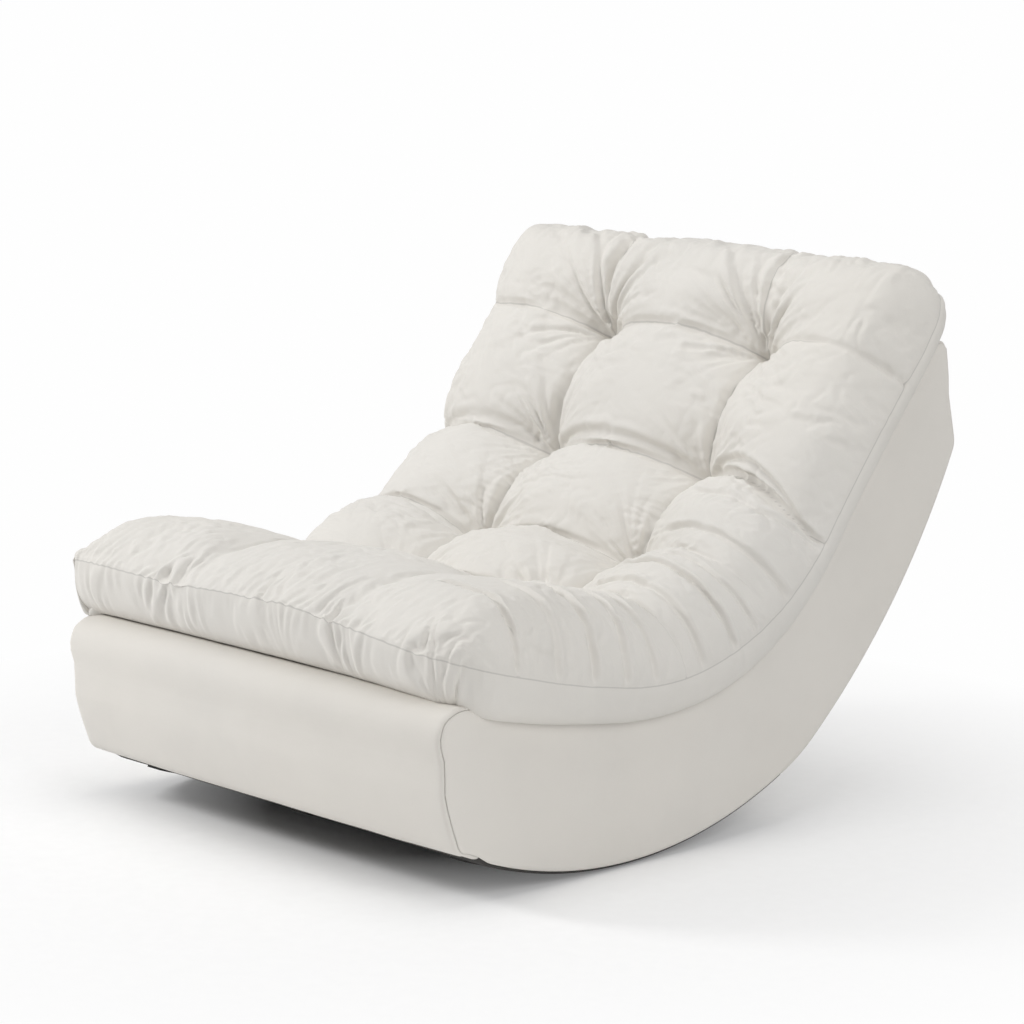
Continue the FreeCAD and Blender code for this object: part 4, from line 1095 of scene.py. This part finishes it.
# How far each point is from a sewn line, along the cloth.
across = np.hypot(np.abs(np.abs(grid_x) - XT), np.maximum(ROWS[0] - grid_s, 0))
along = np.min(np.abs((grid_s + edge_drop)[..., None] - np.array(ROWS)), -1)
along = along + np.where((grid_x > XT + 4) & (grid_s < 800), 0.7, 0.0)
u = np.clip((grid_x - XT) / 280, 0, 1)
dart = np.abs(grid_s - (128 + 10 * np.sin(math.pi * u) - 14 * u)) + np.clip((262 - grid_x) / 4, 0, 60)
seam_top = np.minimum(np.minimum(np.minimum(across, along), border), dart)
seam_all = np.full(len(allv), 60.0)
seam_all[:TOPS] = seam_top.ravel()
band_d = np.zeros(len(loop_ids))
for k in range(len(BAND_TURNS)):
    a = TOPS + k * len(loop_ids)
    here = np.array(allv[a:a + len(loop_ids)])
    above = np.array(allv)[loop_ids] if k == 0 else np.array(allv[a - len(loop_ids):a])
    band_d = band_d + np.linalg.norm(here - above, axis=1) * 1000
    seam_all[a:a + len(loop_ids)] = band_d

co = np.array(allv)
normals = np.zeros(len(co) * 3)
cushion.data.vertex_normals.foreach_get("vector", normals)
normals = normals.reshape(-1, 3)
dip = 2.0 * np.exp(-(seam_all / 3.2) ** 2)
between = np.minimum(across, along + np.where((grid_x > XT + 4) & (grid_s < 800), 30.0, 0.0))
pressed = np.clip(0.75 + 0.6 * field(grid_x / 45, grid_s / 45, 71.0), 0.2, 1.2)
dip[:TOPS] += (5.0 * pressed * np.exp(-(between / 6.0) ** 2)).ravel()
co = co - normals * dip[:, None] * 0.001
cushion.data.vertices.foreach_set("co", co.astype(np.float32).ravel())
cushion.data.update()
float_attribute(cushion, "seam", seam_all * 0.001)
sub = cushion.modifiers.new("smooth", "SUBSURF")
sub.levels = 1
sub.render_levels = 1
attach(cushion, "cushion")
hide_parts("cushion_top_cover", "cushion_bottom_cover", "cushion_filling", "tuft_ties")


# Floor and light.
def floor_material():
    m = Nodes("floor")
    tree = m.tree
    grain = m.noise(40.0, 3.0)
    m.colour(m.ramp(grain, [(0.3, lin(249, 249, 249)), (0.7, lin(252, 252, 252))]))
    m.set(Roughness=0.6, Specular_IOR_Level=0.2)
    out = tree.nodes["Material Output"]
    glow = tree.nodes.new("ShaderNodeEmission")
    glow.inputs["Color"].default_value = (0.992, 0.992, 0.992, 1)
    pick = tree.nodes.new("ShaderNodeMixShader")
    path = tree.nodes.new("ShaderNodeLightPath")
    size = tree.nodes.new("ShaderNodeVectorMath")
    size.operation = "LENGTH"
    m.link(m.coord, size.inputs[0])
    # Painted light: from 0.25 m out the floor blends into a white glow for camera, glossy and transmission
    # rays, fully white past 1.35 m. This gives the far floor its even white, and nearer in it also lightens
    # the chair's cast shadow.
    far = m.span(size.outputs["Value"], 0.25, 1.35, 0.0, 1.0)
    direct = m.math("MAXIMUM", path.outputs["Is Camera Ray"], path.outputs["Is Glossy Ray"])
    direct = m.math("MAXIMUM", direct, path.outputs["Is Transmission Ray"])
    m.link(m.math("MULTIPLY", far, direct), pick.inputs["Fac"])
    m.link(m.shader.outputs["BSDF"], pick.inputs[1])
    m.link(glow.outputs["Emission"], pick.inputs[2])
    m.link(pick.outputs["Shader"], out.inputs["Surface"])
    return m.mat


floor = mesh_object(
    "floor",
    [(-60, -60, 0), (60, -60, 0), (60, 60, 0), (-60, 60, 0)],
    [(0, 1, 2, 3)],
    floor_material(),
    False,
)

world = bpy.data.worlds.new("studio")
scene.world = world
world.use_nodes = True
tree = world.node_tree
sky = tree.nodes["Background"]
sky.inputs["Color"].default_value = (1.0, 1.0, 1.0, 1)
path = tree.nodes.new("ShaderNodeLightPath")
level = tree.nodes.new("ShaderNodeMapRange")
level.inputs["To Min"].default_value = 0.36
level.inputs["To Max"].default_value = 1.0
seen = tree.nodes.new("ShaderNodeMath")
seen.operation = "MAXIMUM"
seen2 = tree.nodes.new("ShaderNodeMath")
seen2.operation = "MAXIMUM"
tree.links.new(path.outputs["Is Camera Ray"], seen.inputs[0])
tree.links.new(path.outputs["Is Glossy Ray"], seen.inputs[1])
tree.links.new(seen.outputs["Value"], seen2.inputs[0])
tree.links.new(path.outputs["Is Transmission Ray"], seen2.inputs[1])
tree.links.new(seen2.outputs["Value"], level.inputs["Value"])
tree.links.new(level.outputs["Result"], sky.inputs["Strength"])


def area_light(name, place_at, target, size, power):
    data = bpy.data.lights.new(name, "AREA")
    data.shape = "RECTANGLE"
    data.size, data.size_y = size
    data.energy = power
    obj = bpy.data.objects.new(name, data)
    scene.collection.objects.link(obj)
    obj.location = place_at
    way = Vector(target) - Vector(place_at)
    obj.rotation_mode = "QUATERNION"
    obj.rotation_quaternion = way.to_track_quat("-Z", "Y")
    return obj


area_light("key", (-3.4, -2.7, 2.8), (0, 0, 0.4), (1.1, 1.1), 118)
area_light("top", (0.5, 0.2, 4.4), (0, 0.1, 0.3), (2.6, 2.6), 46)
area_light("side", (3.8, -0.6, 2.8), (0, 0.1, 0.4), (2.0, 2.0), 46)
